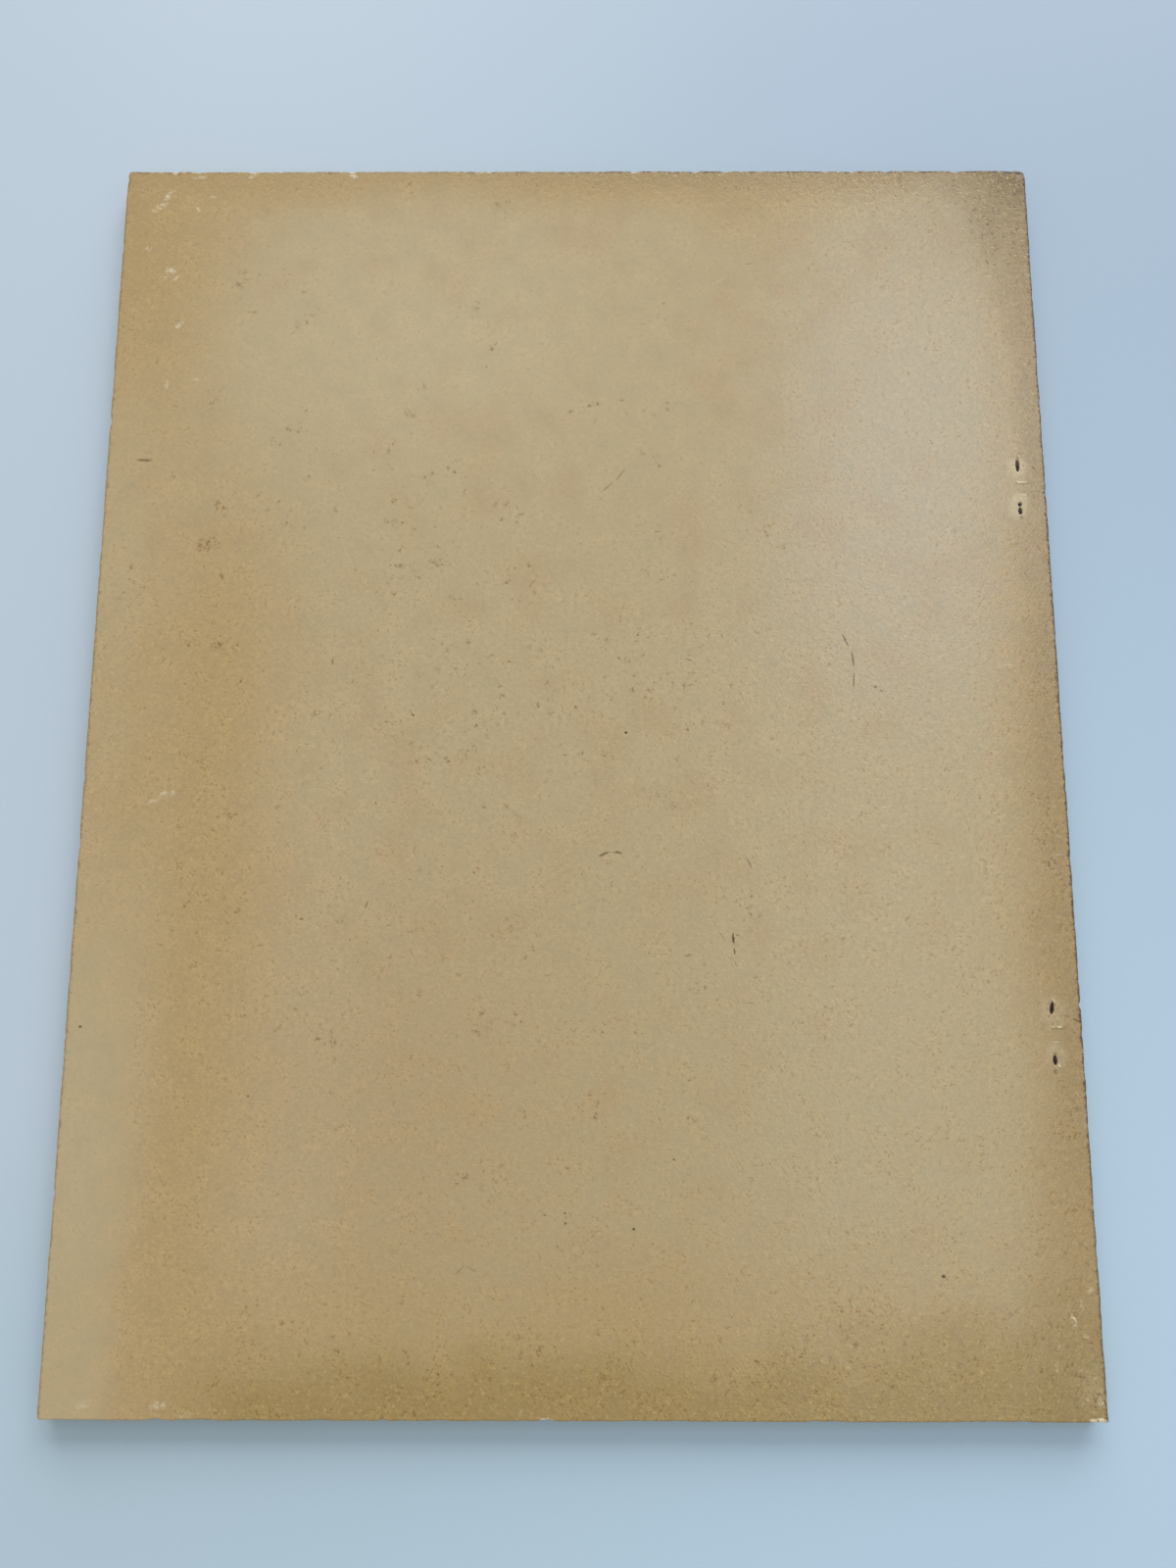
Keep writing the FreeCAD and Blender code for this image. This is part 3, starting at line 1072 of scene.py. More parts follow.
def worn_outline(x, y, low, high, seed, nicks):
    """Moves a square grid's edges in: rounded corners, fuzzed edges and nicks."""
    from_left, from_top = x[:, 0] - low.x, high.y - y[0]
    fore_edge = edge_wear(from_top, "fore_edge", seed, nicks)
    bound_edge = edge_wear(from_top, "bound_edge", seed + 2, nicks)
    foot = edge_wear(from_left, "foot", seed + 4, nicks)[:, None]
    head = edge_wear(from_left, "head", seed + 6, nicks)[:, None]
    moved_x, moved_y = rounded_corners(x, y, low, high)
    moved_x = moved_x + ramp(x - low.x, WEAR_REACH, 0) * fore_edge
    moved_x = moved_x - ramp(high.x - x, WEAR_REACH, 0) * bound_edge
    moved_y = moved_y + ramp(y - low.y, WEAR_REACH, 0) * foot
    moved_y = moved_y - ramp(high.y - y, WEAR_REACH, 0) * head
    return moved_x, moved_y


def cover_sheet(name, relief, outer_sign, seed, nicks):
    """A whole cover's finely ruled outer face with worn edges, and the height of its plain inner face."""
    low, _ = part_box(name)
    _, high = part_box(name + "_margin")
    fine_across, fine_along = staple_stretches()
    xs = grid_lines(low.x, high.x, fine_across)
    ys = grid_lines(low.y, high.y, fine_along)
    x, y = np.meshgrid(xs, ys, indexing="ij")
    inset = np.minimum(np.minimum(x - low.x, high.x - x), np.minimum(y - low.y, high.y - y))
    from_edge = np.clip(1 - inset / EDGE_ROUNDING, 0, 1)
    drop = EDGE_ROUNDING * (1 - np.sqrt(1 - from_edge ** 2))
    flat = np.stack([x.ravel(), y.ravel(), np.zeros(x.size)], 1)
    cockle = ripple(flat, BROAD_COCKLE_SIZE, seed) * BROAD_COCKLE_HEIGHT
    cockle += ripple(flat, FINE_COCKLE_SIZE, seed + 3) * FINE_COCKLE_HEIGHT
    cockle = cockle.reshape(x.shape)
    outer_z = (high.z if outer_sign > 0 else low.z) + outer_sign * (cockle - drop + relief(x, y))
    inner_z = low.z if outer_sign > 0 else high.z
    moved_x, moved_y = worn_outline(x, y, low, high, seed, nicks)
    outer = np.stack([moved_x, moved_y, outer_z], 2)
    return outer, inner_z


def cover_faces(index, inner_of, outline):
    """A cover's faces, seen from its outer side: the ruled face, then the rim and the inner strips."""
    count_x = len(index)
    corners = [index[:-1, :-1], index[1:, :-1], index[1:, 1:], index[:-1, 1:]]
    faces = np.stack(corners, 2).reshape(-1, 4).tolist()
    for start, end in zip(outline, np.roll(outline, -1)):
        faces.append([inner_of[start], inner_of[end], end, start])
    for i in range(count_x - 1):
        left_side = index[i, ::-1] if i == 0 else index[i, [-1, 0]]
        right_side = index[i + 1] if i == count_x - 2 else index[i + 1, [0, -1]]
        faces.append([inner_of[point] for point in (*left_side, *right_side)][::-1])
    return faces


def cover_piece(name, outer, inner_z, outer_sign, seed, halos, layers):
    """Closes a ruled outer face with a rim and a plain inner face, and keeps its age, wear and marks."""
    count_x, count_y, _ = outer.shape
    index = np.arange(count_x * count_y).reshape(count_x, count_y)
    outline = np.concatenate([index[:-1, 0], index[-1, :-1], index[:0:-1, -1], index[0, :0:-1]])
    outer = outer.reshape(-1, 3)
    inner = outer[outline] * (1, 1, 0) + (0, 0, inner_z)
    inner_of = {point: len(outer) + order for order, point in enumerate(outline)}
    faces = cover_faces(index, inner_of, outline)
    if outer_sign < 0:
        faces = [face[::-1] for face in faces]
    points = np.concatenate([outer, inner])
    piece = mesh_piece(name, points, faces)
    left, top = on_sheet(points[:, 0], points[:, 1])
    face_kind = (np.arange(len(points)) < len(outer)).astype(float)
    age = cover_age(left, top, seed)
    keep(piece.data, SHEET_PLACE, np.stack([left, top, face_kind], 1))
    keep(piece.data, SHEET_AGE, age, "FLOAT_COLOR", field="color")
    keep(piece.data, SHEET_WEAR, cover_wear(left, top, age, seed, halos))
    corners = np.array(faces[:(count_x - 1) * (count_y - 1)])
    for layer, marks in layers.items():
        keep_marks(piece.data, layer, marks, left[corners], top[corners])
    return piece


# The angle in degrees past which an edge between two faces stays sharp
SHARP_ANGLE = 50


def in_scene(name, data):
    """A new object in the scene."""
    made = bpy.data.objects.new(name, data)
    bpy.context.scene.collection.objects.link(made)
    return made


def mesh_piece(name, points, faces):
    """A new object from points and faces, shaded smooth across shallow edges."""
    mesh = bpy.data.meshes.new(name)
    mesh.from_pydata(points.tolist(), [], faces)
    mesh.polygons.foreach_set("use_smooth", [True] * len(mesh.polygons))
    mesh.set_sharp_from_angle(angle=math.radians(SHARP_ANGLE))
    return in_scene(name, mesh)


def make_cover(name, relief, outer_sign, seed, nicks, halos, layers, material):
    """A cover as one sheet with its finish, in place of its panel and margin."""
    outer, inner_z = cover_sheet(name, relief, outer_sign, seed, nicks)
    piece = cover_piece(name + "_sheet", outer, inner_z, outer_sign, seed, halos, layers)
    piece.data.materials.append(material)
    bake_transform(piece)
    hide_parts(name, name + "_margin")


def make_covers(material):
    """The marked back cover and the plain front cover."""
    layers = {
        PALE_MARK: SCUFFS + RIDGES + anvil_marks() + frayed_threads(*PALE_THREADS),
        DARK_MARK: SCRATCHES + slit_marks() + frayed_threads(*DARK_THREADS),
        FLECK_MARK: scattered_flecks(),
    }
    make_cover("back_cover", leg_relief, 1, BACK_SEED, NICKS, halo_marks(), layers, material)
    make_cover("front_cover", crown_relief, -1, FRONT_SEED, {}, [], {}, material)


# Leaves

def leaf_shape():
    """A thin sheet whose grid lines are close together where it bends."""
    number = "NodeSocketFloat"
    shape = Shape("leaf_sheet", {
        "Fore Edge": number, "Bend End": number, "Bound Edge": number, "Foot": number, "Head": number,
        "Bottom": number, "Thickness": number, "Leaf": number, "Material": "NodeSocketMaterial",
    })
    given = shape.inputs
    grid = shape.node("GeometryNodeMeshGrid", "Mesh", None,
                      {"Size X": LEAF_GRID, "Size Y": LEAF_GRID, "Vertices X": LEAF_LINES, "Vertices Y": 2})
    across, along, _ = shape.split(shape.node("GeometryNodeInputPosition", "Position"))
    share = across + LEAF_GRID / 2
    panel = shape.ranged(share, 0.0, LEAF_PANEL_SHARE, given["Fore Edge"], given["Bend End"])
    rest = shape.ranged(share, LEAF_PANEL_SHARE, 1.0, 0.0, given["Bound Edge"] - given["Bend End"])
    y = shape.ranged(along, -LEAF_GRID / 2, LEAF_GRID / 2, given["Foot"], given["Head"])
    lower = shape.node("GeometryNodeSetPosition", "Geometry", None,
                       {"Geometry": grid, "Position": shape.joined(panel + rest, y, given["Bottom"])})
    raised = shape.node("GeometryNodeExtrudeMesh", "Mesh", {"mode": "FACES"},
                        {"Mesh": lower, "Offset": shape.joined(0.0, 0.0, 1.0),
                         "Offset Scale": given["Thickness"], "Individual": False})
    under = shape.node("GeometryNodeFlipFaces", "Mesh", None, {"Mesh": lower})
    both = shape.node("GeometryNodeJoinGeometry", "Geometry", None, {"Geometry": [raised, under]})
    closed = shape.node("GeometryNodeMergeByDistance", "Geometry", None,
                        {"Geometry": both, "Distance": LEAF_WELD})
    at_x, at_y, _ = shape.split(shape.node("GeometryNodeInputPosition", "Position"))
    place = shape.joined((at_x - FORE_EDGE) / MM, (HEAD - at_y) / MM, given["Leaf"])
    placed = shape.node("GeometryNodeStoreNamedAttribute", "Geometry",
                        {"data_type": "FLOAT_VECTOR", "domain": "POINT"},
                        {"Geometry": closed, "Name": SHEET_PLACE, "Value": place})
    shape.end(placed)
    return shape


def make_leaves(material):
    """Every leaf: one sheet, shifted a little at random, in place of its panel and the leaves' margins."""
    shape = leaf_shape()
    draw = random.Random(JITTER_SEED)
    for order, name in enumerate(LEAVES):
        low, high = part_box(name)
        start = PIVOTS[name]
        shift_x = draw.uniform(-LEAF_JITTER, LEAF_JITTER)
        shift_y = draw.uniform(-LEAF_JITTER, LEAF_JITTER)
        piece = in_scene(name + "_sheet", bpy.data.meshes.new(name))
        shape.made(piece, {
            "Fore Edge": FORE_EDGE + LEAF_TRIM + shift_x,
            "Bend End": start.x - LEAF_BEND,
            "Bound Edge": BOUND_EDGE - LEAF_TRIM + shift_x,
            "Foot": FOOT + LEAF_TRIM + shift_y,
            "Head": HEAD - LEAF_TRIM + shift_y,
            "Bottom": low.z + LEAF_GAP / 2,
            "Thickness": high.z - low.z - LEAF_GAP,
            "Leaf": float(order),
            "Material": material,
        })
        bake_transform(piece)
        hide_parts(name, "leaf_margins")


# Staples

def staple_shape():
    """Flat wire with rounded corners, bent along a path of straight runs, with thinned tips."""
    number = "NodeSocketFloat"
    shape = Shape("staple_wire", {
        "Wire Width": number, "Wire Thickness": number, "Bend": number, "Material": "NodeSocketMaterial",
    })
    given = shape.inputs
    path = shape.node("GeometryNodeMeshToCurve", "Curve", None, {"Mesh": given["Geometry"]})
    bent = shape.node("GeometryNodeFilletCurve", "Curve", {"mode": "POLY"},
                      {"Curve": path, "Count": WIRE_BEND_POINTS, "Radius": given["Bend"],
                       "Limit Radius": True})
    even = shape.node("GeometryNodeResampleCurve", "Curve", {"mode": "LENGTH"},
                      {"Curve": bent, "Length": WIRE_STEP})
    along = shape.node("GeometryNodeSplineParameter", "Factor")
    start_tip = shape.rise(along, -WIRE_TAPER, WIRE_TAPER)
    end_tip = shape.rise(along, 1 + WIRE_TAPER, 1 - WIRE_TAPER)
    thinned = shape.node("GeometryNodeSetCurveRadius", "Curve", None,
                         {"Curve": even, "Radius": start_tip * end_tip})
    section = shape.node("GeometryNodeCurvePrimitiveQuadrilateral", "Curve", None,
                         {"Width": given["Wire Width"], "Height": given["Wire Thickness"]})
    rounded = shape.node("GeometryNodeFilletCurve", "Curve", {"mode": "POLY"},
                         {"Curve": section, "Count": WIRE_ROUNDING_POINTS, "Radius": WIRE_ROUNDING,
                          "Limit Radius": True})
    wire = shape.node("GeometryNodeCurveToMesh", "Mesh", None,
                      {"Curve": thinned, "Profile Curve": rounded, "Fill Caps": True})
    shape.end(wire)
    return shape


def staple_path(name, thickness):
    """The middle line of a staple's wire: crown below, legs up, ends bent towards each other."""
    low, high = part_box(name)
    x, middle, half = staple_middle(name)
    outer = half - thickness / 2
    bottom = low.z + thickness / 2 + WIRE_SUNK
    top = high.z - thickness / 2 - WIRE_SUNK
    tip = (outer - CLINCH_LENGTH, top - CLINCH_DIP)
    side = [tip, (outer - CLINCH_CROWN, top), (outer, top - BEND_DIP), (outer, bottom)]
    return [(x, middle - y, z) for y, z in side] + [(x, middle + y, z) for y, z in reversed(side)]


def make_staples(material):
    """Both staples, fixed in the binding."""
    shape = staple_shape()
    card_low, card_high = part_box("front_cover")
    thickness = card_high.z - card_low.z
    for name in STAPLES:
        low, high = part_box(name)
        path = staple_path(name, thickness)
        piece = in_scene(name + "_wire", bpy.data.meshes.new(name))
        piece.data.from_pydata(path, [(i, i + 1) for i in range(len(path) - 1)], [])
        shape.made(piece, {"Wire Width": high.x - low.x, "Wire Thickness": thickness, "Bend": thickness,
                           "Material": material})
        piece.data.polygons.foreach_set("use_smooth", [True] * len(piece.data.polygons))
        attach(piece, "binding")
        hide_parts(name)


# Finishes

TAN = srgb(185, 168, 132)
OCHRE = srgb(179, 152, 106)
DEEP_OCHRE = srgb(160, 135, 84)
GREY_BROWN = srgb(136, 114, 66)
ROSY_TAN = srgb(181, 156, 118)
CARD_INSIDE = srgb(190, 172, 134)
CARD_CORE = srgb(106, 82, 50)
# Bare card, also painted on the staples' ridges as their highlights
BARE_CARD_AND_HIGHLIGHTS = srgb(210, 197, 165)
FLECK_BROWN = srgb(126, 92, 38)
# Brown dirt and black oxide, both also painted in the staples' slits as the shade of their holes
BROWN_DIRT_AND_SHADE = srgb(92, 69, 39)
BLACK_OXIDE_AND_SHADE = srgb(26, 22, 18)

# Noise of the card: the size of its patches in millimetres, its detail and its roughness. Fibres
# have a length and a width.
MOTTLE_NOISE = (6.5, 3.0, 0.7)
WOOL_NOISE = (1.1, 3.0, 0.7)
WOOL_TWIST = 0.8
WANDER_NOISE = (0.7, 2.0, 0.6)
FIBRE_SIZE = (1.5, 0.5)

# How strongly the card's grain breaks up each of its tones
GRAIN_MOTTLE = 0.4
GRAIN_FIBRES = 0.4
GRAIN_FULL = 0.4
ROSY_MOTTLE = 0.65
ROSY_FIBRES = 0.2
OCHRE_GRAIN = 0.5
DEEP_GRAIN = 1.3
GREY_GRAIN = 2.0
GRIME_GRAIN = 2.0
GRIME_SHADE = 0.17


def toned_card(finish, mottle, fibres):
    """The colour of a cover's outer face, from its age and grime, in grainy patches."""
    age, grey = finish.kept(SHEET_AGE, ("Color", "Alpha"))
    ochre, deep, rosy = finish.split(age)
    _, _, grime = finish.split(finish.kept(SHEET_WEAR))
    grains = mottle * GRAIN_MOTTLE + fibres * GRAIN_FIBRES

    def grainy(mask, share):
        return finish.held(mask + grains * finish.rise(mask, 0.0, GRAIN_FULL) * share)

    rosy_patches = finish.held(rosy + mottle * ROSY_MOTTLE + fibres * ROSY_FIBRES)
    colour = finish.mixed(TAN, ROSY_TAN, rosy_patches)
    colour = finish.mixed(colour, OCHRE, grainy(ochre, OCHRE_GRAIN))
    colour = finish.mixed(colour, DEEP_OCHRE, grainy(deep, DEEP_GRAIN))
    colour = finish.mixed(colour, GREY_BROWN, grainy(grey, GREY_GRAIN))
    return finish.shaded(colour, 1 - grainy(grime, GRIME_GRAIN) * GRIME_SHADE)


# The brown line along a cover's edges: how far wool moves it, where it has faded out and where it
# is full, in millimetres from the edge, and its strength without grime and with it
DIRT_WANDER = 1.8
DIRT_REACH = (0.8, 0.2)
DIRT_LEAST = 0.42
DIRT_GRIME = 0.5


def edge_dirt(finish, place, wool, grime):
    """A thin uneven brown line along the edges of a cover, all but its foot."""
    left, top, _ = finish.split(place)
    to_side = finish.sum("MINIMUM", left, PAGE_WIDTH - left)
    line = finish.rise(finish.sum("MINIMUM", to_side, top) + wool * DIRT_WANDER, *DIRT_REACH)
    return line * (DIRT_LEAST + grime * DIRT_GRIME)


# A cover's places keep a third number, from 0 on its inner face to 1 on its outer one: where the
# outer face starts and is full, and where the rim does
OUTER_FACE = (0.6, 0.95)
RIM_FACE = (0.02, 0.12)

# Pale and dark fibres that show as specks: where a speck starts and where it is full, the mottling
# that dark ones need, and their strength
PALE_SPECKS = (0.14, 0.34)
PALE_SPECK_SHARE = 0.12
DARK_SPECKS = (-0.10, -0.30)
DARK_SPECK_MOTTLE = (-0.06, 0.12)
DARK_SPECK_SHARE = 0.45

# How scuffs break up on pale fibres and flecks on dark ones: the share that shows anyway, the share
# that fibres add, and where that starts and is full
SCUFF_LEAST = 0.25
SCUFF_BROKEN = 0.7
SCUFF_FIBRES = (-0.15, 0.15)
FLECK_LEAST = 0.2
FLECK_BROKEN = 1.1
FLECK_FIBRES = (0.0, -0.22)

# How far noise moves the outline of a scuff, a scratch and a fleck, against its size
SCUFF_WANDER = 0.9
SCRATCH_WANDER = 0.7
FLECK_WANDER = 1.4

# The card's shade, roughness and relief, with what its grain and its marks add
MOTTLE_SHADE = 0.25
WOOL_SHADE = 0.36
FIBRE_SHADE = 0.28
CARD_ROUGHNESS = 0.2
RAW_ROUGHNESS = 0.5
MOTTLE_ROUGHNESS = 0.05
FIBRE_ROUGHNESS = 0.06
SCUFF_ROUGHNESS = 0.3
DIRT_ROUGHNESS = 0.5
SCUFF_HEIGHT = 0.4
SCRATCH_DEPTH = 0.6
FLECK_DEPTH = 0.3
CARD_RELIEF = 0.04 * MM


def cover_card():
    """Aged card with crossing fibres, and the wear, scuffs, scratches and flecks that its mesh keeps, with
    painted highlights on the ridges by the staples' legs and painted shade in their slits.
    """
    finish = Finish("cover_card_aged")
    place = finish.kept(SHEET_PLACE)
    _, _, face = finish.split(place)
    paler, rough, grime = finish.split(finish.kept(SHEET_WEAR))
    outside = finish.rise(face, *OUTER_FACE)
    rim = finish.rise(face, *RIM_FACE) * (1 - outside)
    mottle = finish.grain(place, *MOTTLE_NOISE)
    wool = finish.grain(place, *WOOL_NOISE, twist=WOOL_TWIST)
    wander = finish.cloud(place, *WANDER_NOISE, "Color")
    fibres = finish.fibres(place, *FIBRE_SIZE)
    pale_specks = finish.rise(fibres, *PALE_SPECKS) * rough
    dark_specks = finish.rise(fibres, *DARK_SPECKS) * finish.rise(mottle, *DARK_SPECK_MOTTLE) * rough
    patchy = SCUFF_LEAST + finish.rise(fibres + wool, *SCUFF_FIBRES) * SCUFF_BROKEN
    threaded = FLECK_LEAST + finish.rise(fibres + wool, *FLECK_FIBRES) * FLECK_BROKEN
    pale = finish.held(finish.marks(PALE_MARK, wander, SCUFF_WANDER) * patchy + paler)
    dark = finish.marks(DARK_MARK, wander, SCRATCH_WANDER)
    flecks = finish.marks(FLECK_MARK, wander, FLECK_WANDER) * threaded
    dirt = edge_dirt(finish, place, wool, grime) * (1 - pale)
    colour = toned_card(finish, mottle, fibres)
    # Pale marks go towards bare card; on the staples' ridges this is a painted highlight
    colour = finish.mixed(colour, BARE_CARD_AND_HIGHLIGHTS, finish.held(pale + pale_specks * PALE_SPECK_SHARE))
    colour = finish.mixed(colour, FLECK_BROWN, finish.held(flecks + dark_specks * DARK_SPECK_SHARE))
    colour = finish.mixed(colour, BROWN_DIRT_AND_SHADE, finish.held(dark + dirt))
    colour = finish.mixed(CARD_INSIDE, colour, outside)
    colour = finish.mixed(colour, CARD_CORE, rim)
    # Past a strength of 1 a dark mark goes on to black: oxide, and painted shade in the staples' slits
    colour = finish.mixed(colour, BLACK_OXIDE_AND_SHADE, finish.held(dark - 1))
    grain_shade = (wool * WOOL_SHADE + fibres * FIBRE_SHADE) * rough
    colour = finish.shaded(colour, 1 + mottle * MOTTLE_SHADE + grain_shade)
    roughness = CARD_ROUGHNESS + (1 - outside) * RAW_ROUGHNESS
    roughness = roughness + mottle * MOTTLE_ROUGHNESS + fibres * FIBRE_ROUGHNESS
    roughness = finish.held(roughness + pale * SCUFF_ROUGHNESS + dirt * DIRT_ROUGHNESS)
    height = (wool + fibres) * finish.sum("MINIMUM", rough, 1.0)
    height = height + pale * SCUFF_HEIGHT - finish.held(dark + flecks * FLECK_DEPTH) * SCRATCH_DEPTH
    return finish.finished({
        "Base Color": colour,
        "Roughness": roughness,
        "Normal": finish.bump(height, CARD_RELIEF),
    })


PAGE_CREAM = srgb(226, 214, 186)
PAGE_TONED = srgb(196, 172, 128)
PAGE_EDGE = srgb(178, 152, 108)
PAGE_FOXING = srgb(150, 112, 66)

# Noise of the paper in millimetres, and how far it moves on from one leaf to the next
TONE_NOISE = (24, 3.0, 0.6)
PAPER_NOISE = (0.5, 3.0, 0.65)
NEXT_LEAF_ACROSS = 37
NEXT_LEAF_DOWN = 23

# How far in the paper is toned from its free edges and from its bound edge, its rim, and its brown
# age spots, in millimetres
EDGE_TONE_SHARE = 0.7
EDGE_TONE_IN = (22, 0)
EDGE_TONE_DRIFT = 14
BOUND_TONE_SHARE = 0.25
BOUND_TONE_FADED = 30
BOUND_TONE_FULL = 5
PAPER_RIM = (0.9, 0.35)
FOXING_CELL = 17
FOXING_CHANCE = 0.22
FOXING_RADIUS = 1.4
FOXING_SHARE = 0.3

# The paper's shade, roughness and relief
PAPER_SHADE = 0.1
PAPER_ROUGHNESS = 0.78
PAPER_ROUGHNESS_CHANGE = 0.12
PAPER_SPECULAR = 0.35
PAPER_RELIEF = 0.02 * MM


def page_paper():
    """Uncoated paper, toned from its edges inwards, with a few brown age spots."""
    finish = Finish("leaf_paper_aged")
    left, top, leaf = finish.split(finish.kept(SHEET_PLACE))
    own_place = finish.joined(left + leaf * NEXT_LEAF_ACROSS, top + leaf * NEXT_LEAF_DOWN, 0.0)
    to_end = finish.sum("MINIMUM", top, PAGE_HEIGHT - top)
    to_edge = finish.sum("MINIMUM", to_end, left)
    drift = finish.grain(own_place, *TONE_NOISE)
    fibre = finish.grain(own_place, *PAPER_NOISE)
    by_edge = finish.rise(to_edge + drift * EDGE_TONE_DRIFT, *EDGE_TONE_IN)
    by_binding = finish.rise(left, PAGE_WIDTH - BOUND_TONE_FADED, PAGE_WIDTH - BOUND_TONE_FULL)
    toned = finish.held(by_edge * EDGE_TONE_SHARE + by_binding * BOUND_TONE_SHARE)
    foxing = finish.specks(own_place, FOXING_CELL, FOXING_CHANCE, FOXING_RADIUS)
    colour = finish.mixed(PAGE_CREAM, PAGE_TONED, toned)
    colour = finish.mixed(colour, PAGE_EDGE, finish.rise(to_edge, *PAPER_RIM))
    colour = finish.mixed(colour, PAGE_FOXING, foxing * FOXING_SHARE)
    colour = finish.shaded(colour, 1 + fibre * PAPER_SHADE)
    return finish.finished({
        "Base Color": colour,
        "Roughness": PAPER_ROUGHNESS + fibre * PAPER_ROUGHNESS_CHANGE,
        "Specular IOR Level": PAPER_SPECULAR,
        "Normal": finish.bump(fibre, PAPER_RELIEF),
    })


WIRE_DARK = srgb(52, 46, 44)
WIRE_BARE = srgb(120, 112, 104)
WIRE_RUST = srgb(88, 54, 30)

# Noise of the wire in metres, and where it rusts and where it is rubbed bare
RUST_NOISE = (1.6 * MM, 3.0, 0.6)
WIRE_NOISE = (0.2 * MM, 4.0, 0.7)
RUST_SHARE = 0.7
RUST_PATCHES = (0.5, 0.66)
RUST_RAGGED = 0.5
BARE_SHARE = 0.6
BARE_PATCHES = (0.56, 0.72)

# The wire's roughness, metal and relief, with what rust and noise change in them
WIRE_ROUGHNESS = 0.42
WIRE_ROUGHNESS_CHANGE = 0.2
RUST_ROUGHNESS = 0.38
WIRE_METAL = 0.9
RUST_METAL_LOSS = 0.8
RUST_HEIGHT = 0.6
WIRE_RELIEF = 0.02 * MM


def oxidised_wire():
    """Dark oxidised staple wire with rust and a few bare rubbed places."""
    finish = Finish("staple_wire_oxidised")
    place = finish.node("ShaderNodeTexCoord", "Object")
    broad = finish.cloud(place, *RUST_NOISE, dimensions="3D")
    fine = finish.cloud(place, *WIRE_NOISE, dimensions="3D")
    uneven = fine - NOISE_MIDDLE
    rust = finish.rise(broad + uneven * RUST_RAGGED, *RUST_PATCHES)
    bare = finish.rise(fine, *BARE_PATCHES) * (1 - rust)
    colour = finish.mixed(WIRE_DARK, WIRE_BARE, bare * BARE_SHARE)
    colour = finish.mixed(colour, WIRE_RUST, rust * RUST_SHARE)
    roughness = WIRE_ROUGHNESS + rust * RUST_ROUGHNESS + uneven * WIRE_ROUGHNESS_CHANGE
    return finish.finished({
        "Base Color": colour,
        "Roughness": finish.held(roughness),
        "Metallic": finish.held(WIRE_METAL - rust * RUST_METAL_LOSS),
        "Normal": finish.bump(fine + rust * RUST_HEIGHT, WIRE_RELIEF),
    })


# The table's colour at its four corners, with painted light and shade in it
FLOOR_HEAD_LEFT = srgb(190, 206, 221)
FLOOR_FOOT_LEFT = srgb(181, 203, 218)
FLOOR_HEAD_RIGHT = srgb(166, 186, 207)
FLOOR_FOOT_RIGHT = srgb(184, 209, 230)

# Noise of the table in metres, how far the painted light and shade in its colour at the right go on
# changing towards the head, against the booklet's own head, and its shade, roughness and relief
BROAD_FLOOR_NOISE = (0.18, 3.0, 0.5)
FINE_FLOOR_NOISE = (1.2 * MM, 2.0, 0.5)
FLOOR_HEAD_REACH = 1.4
FLOOR_SHADE = 0.02
FLOOR_ROUGHNESS = 0.5
FLOOR_ROUGHNESS_CHANGE = 0.06
FLOOR_SPECULAR = 0.4
FLOOR_RELIEF = 0.004 * MM


def pale_floor():
    """A smooth pale table top, with light and shade painted into its colour: darker at the foot on the left
    and at the head on the right, lighter at the foot on the right, and bluer to the right as a painted
    reflection.
    """
    finish = Finish("pale_floor")
    place = finish.node("ShaderNodeTexCoord", "Object")
    x, y, _ = finish.split(place)
    broad = finish.grain(place, *BROAD_FLOOR_NOISE)
    fine = finish.grain(place, *FINE_FLOOR_NOISE)
    # Painted light and shade: blended from the foot to the head on each side, then from left to right
    up_left = finish.rise(y, FOOT, FOOT / 2)
    up_right = finish.rise(y, FOOT, HEAD * FLOOR_HEAD_REACH)
    on_left = finish.mixed(FLOOR_FOOT_LEFT, FLOOR_HEAD_LEFT, up_left)
    on_right = finish.mixed(FLOOR_FOOT_RIGHT, FLOOR_HEAD_RIGHT, up_right)
    colour = finish.mixed(on_left, on_right, finish.rise(x, FORE_EDGE, BOUND_EDGE))
    colour = finish.shaded(colour, 1 + broad * FLOOR_SHADE + fine * FLOOR_SHADE)
    return finish.finished({
        "Base Color": colour,
        "Roughness": FLOOR_ROUGHNESS + broad * FLOOR_ROUGHNESS_CHANGE,
        "Specular IOR Level": FLOOR_SPECULAR,
        "Normal": finish.bump(fine, FLOOR_RELIEF),
    })


# Stage

FLOOR_HALF = 2.0
FLOOR_DROP = 0.05 * MM

# Each lamp's place, the point that it faces, its size, and its radiance as a colour
LAMPS = {
    "window": ((0.7, 5.6, 2.5), (0, 0, 0), (6.5, 4.0), (5.0, 5.0, 5.0)),
    "upper_panel": ((0.70, 1.02, 2.0), (0.70, 1.02, 0), (0.36, 0.98), (2.45, 3.38, 4.85)),
    "lower_panel": ((0.62, -0.35, 2.0), (0.62, -0.35, 0), (0.38, 1.5), (1.45, 1.75, 1.8)),
}
ROOM_COLOUR = (1.0, 0.97, 0.90, 1.0)
ROOM_STRENGTH = 0.5

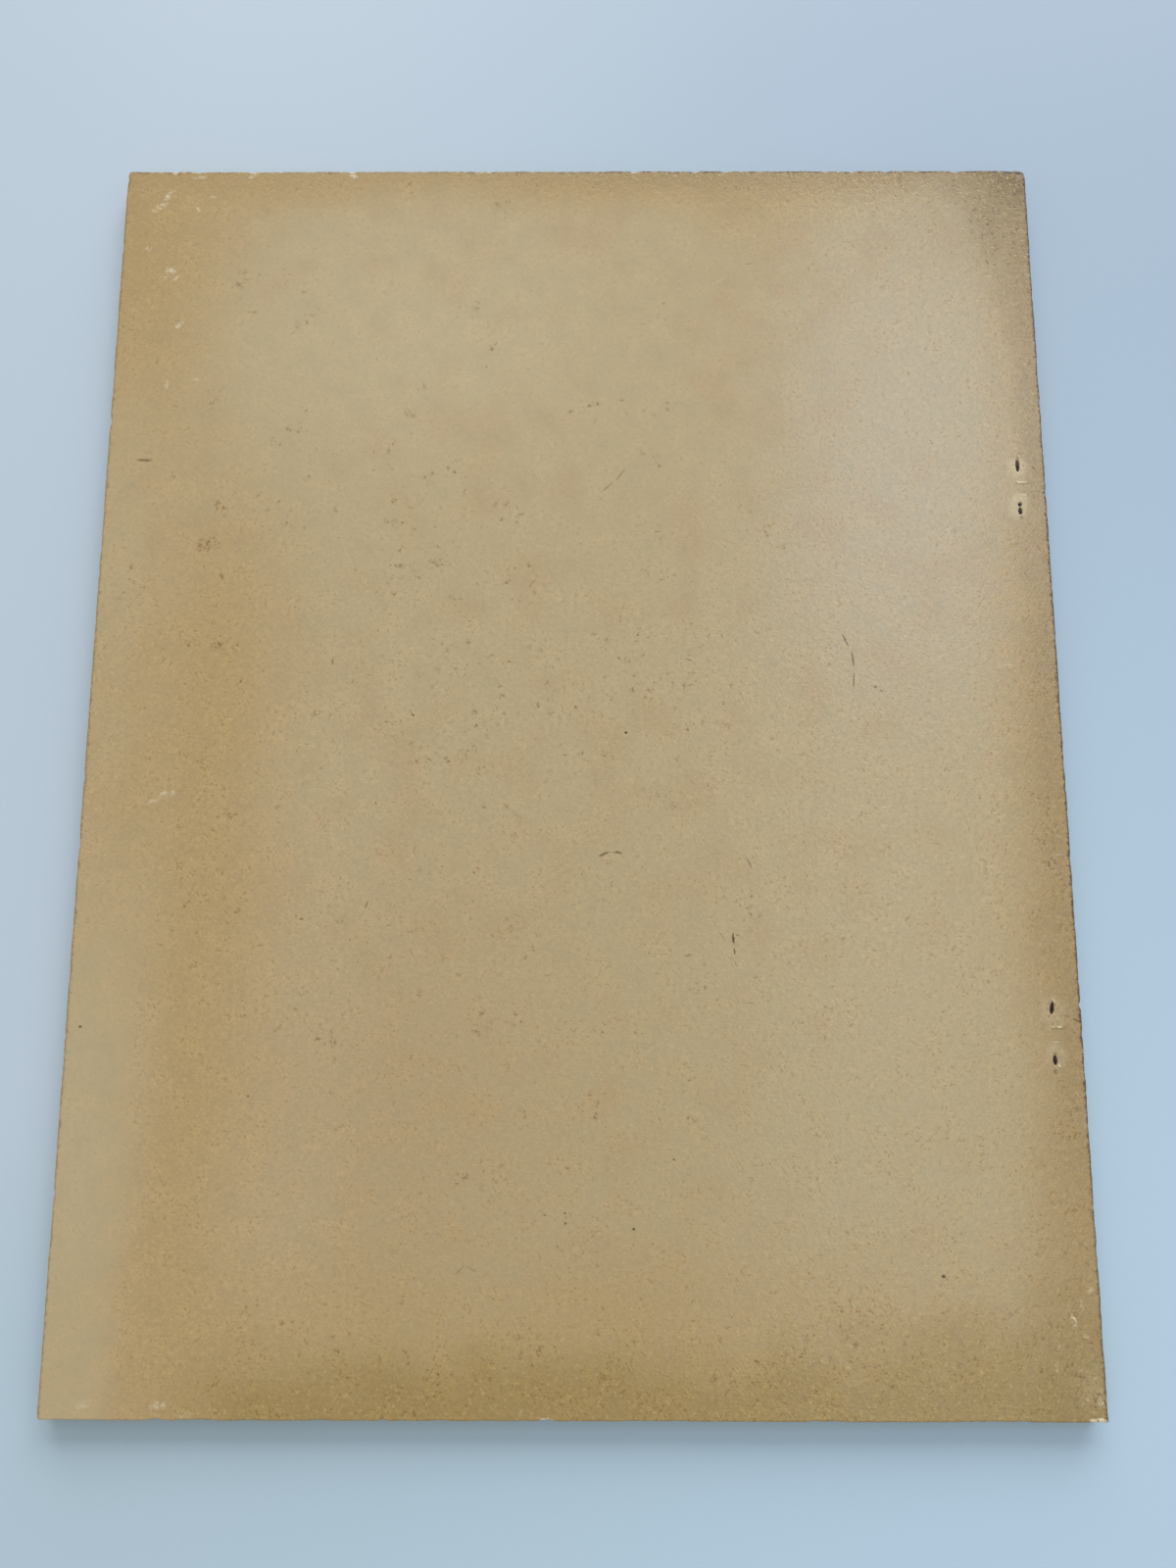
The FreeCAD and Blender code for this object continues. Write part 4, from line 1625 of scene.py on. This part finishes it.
# The camera's place, its turns in degrees, its lens and sensor in millimetres, and its nearest sight
CAMERA_PLACE = (0.0039, -0.0471, 0.24206)
CAMERA_TURNS = (8.941, 0.182, 0.07)
CAMERA_LENS = 25.09
CAMERA_SENSOR = 36.0
CAMERA_NEAR = 0.01


def make_floor():
    """The table, just below the booklet."""
    corners = [(-1, -1), (1, -1), (1, 1), (-1, 1)]
    points = np.array([(FLOOR_HALF * x, FLOOR_HALF * y, CAD_LOW.z - FLOOR_DROP) for x, y in corners])
    floor = mesh_piece("floor", points, [(0, 1, 2, 3)])
    floor.data.materials.append(pale_floor())


def make_lamp(name, place, aim, size, radiance):
    """A soft rectangular lamp that faces a point and shines with a radiance, given as a colour."""
    light = bpy.data.lights.new(name, "AREA")
    light.shape = "RECTANGLE"
    light.size, light.size_y = size
    strongest = max(radiance)
    light.energy = strongest * math.pi * size[0] * size[1]
    light.color = [channel / strongest for channel in radiance]
    lamp = in_scene(name, light)
    lamp.location = place
    lamp.rotation_euler = (Vector(aim) - Vector(place)).to_track_quat("-Z", "Y").to_euler()


def make_light():
    """A broad window beyond the head, two long panels overhead to the right, and a pale room."""
    for name, (place, aim, size, radiance) in LAMPS.items():
        make_lamp(name, place, aim, size, radiance)
    world = bpy.data.worlds.new("pale_room")
    world.use_nodes = True
    background = world.node_tree.nodes["Background"]
    background.inputs["Color"].default_value = ROOM_COLOUR
    background.inputs["Strength"].default_value = ROOM_STRENGTH
    bpy.context.scene.world = world


def make_camera():
    """A camera held over the booklet, a little below its middle."""
    data = bpy.data.cameras.new("camera")
    data.lens = CAMERA_LENS
    data.sensor_width = CAMERA_SENSOR
    data.clip_start = CAMERA_NEAR
    camera = in_scene("camera", data)
    camera.location = CAMERA_PLACE
    camera.rotation_euler = Euler([math.radians(turn) for turn in CAMERA_TURNS])
    bpy.context.scene.camera = camera


def main():
    bpy.context.scene.view_settings.view_transform = "Standard"
    make_camera()
    make_light()
    make_floor()
    make_covers(cover_card())
    make_leaves(page_paper())
    make_staples(oxidised_wire())


main()
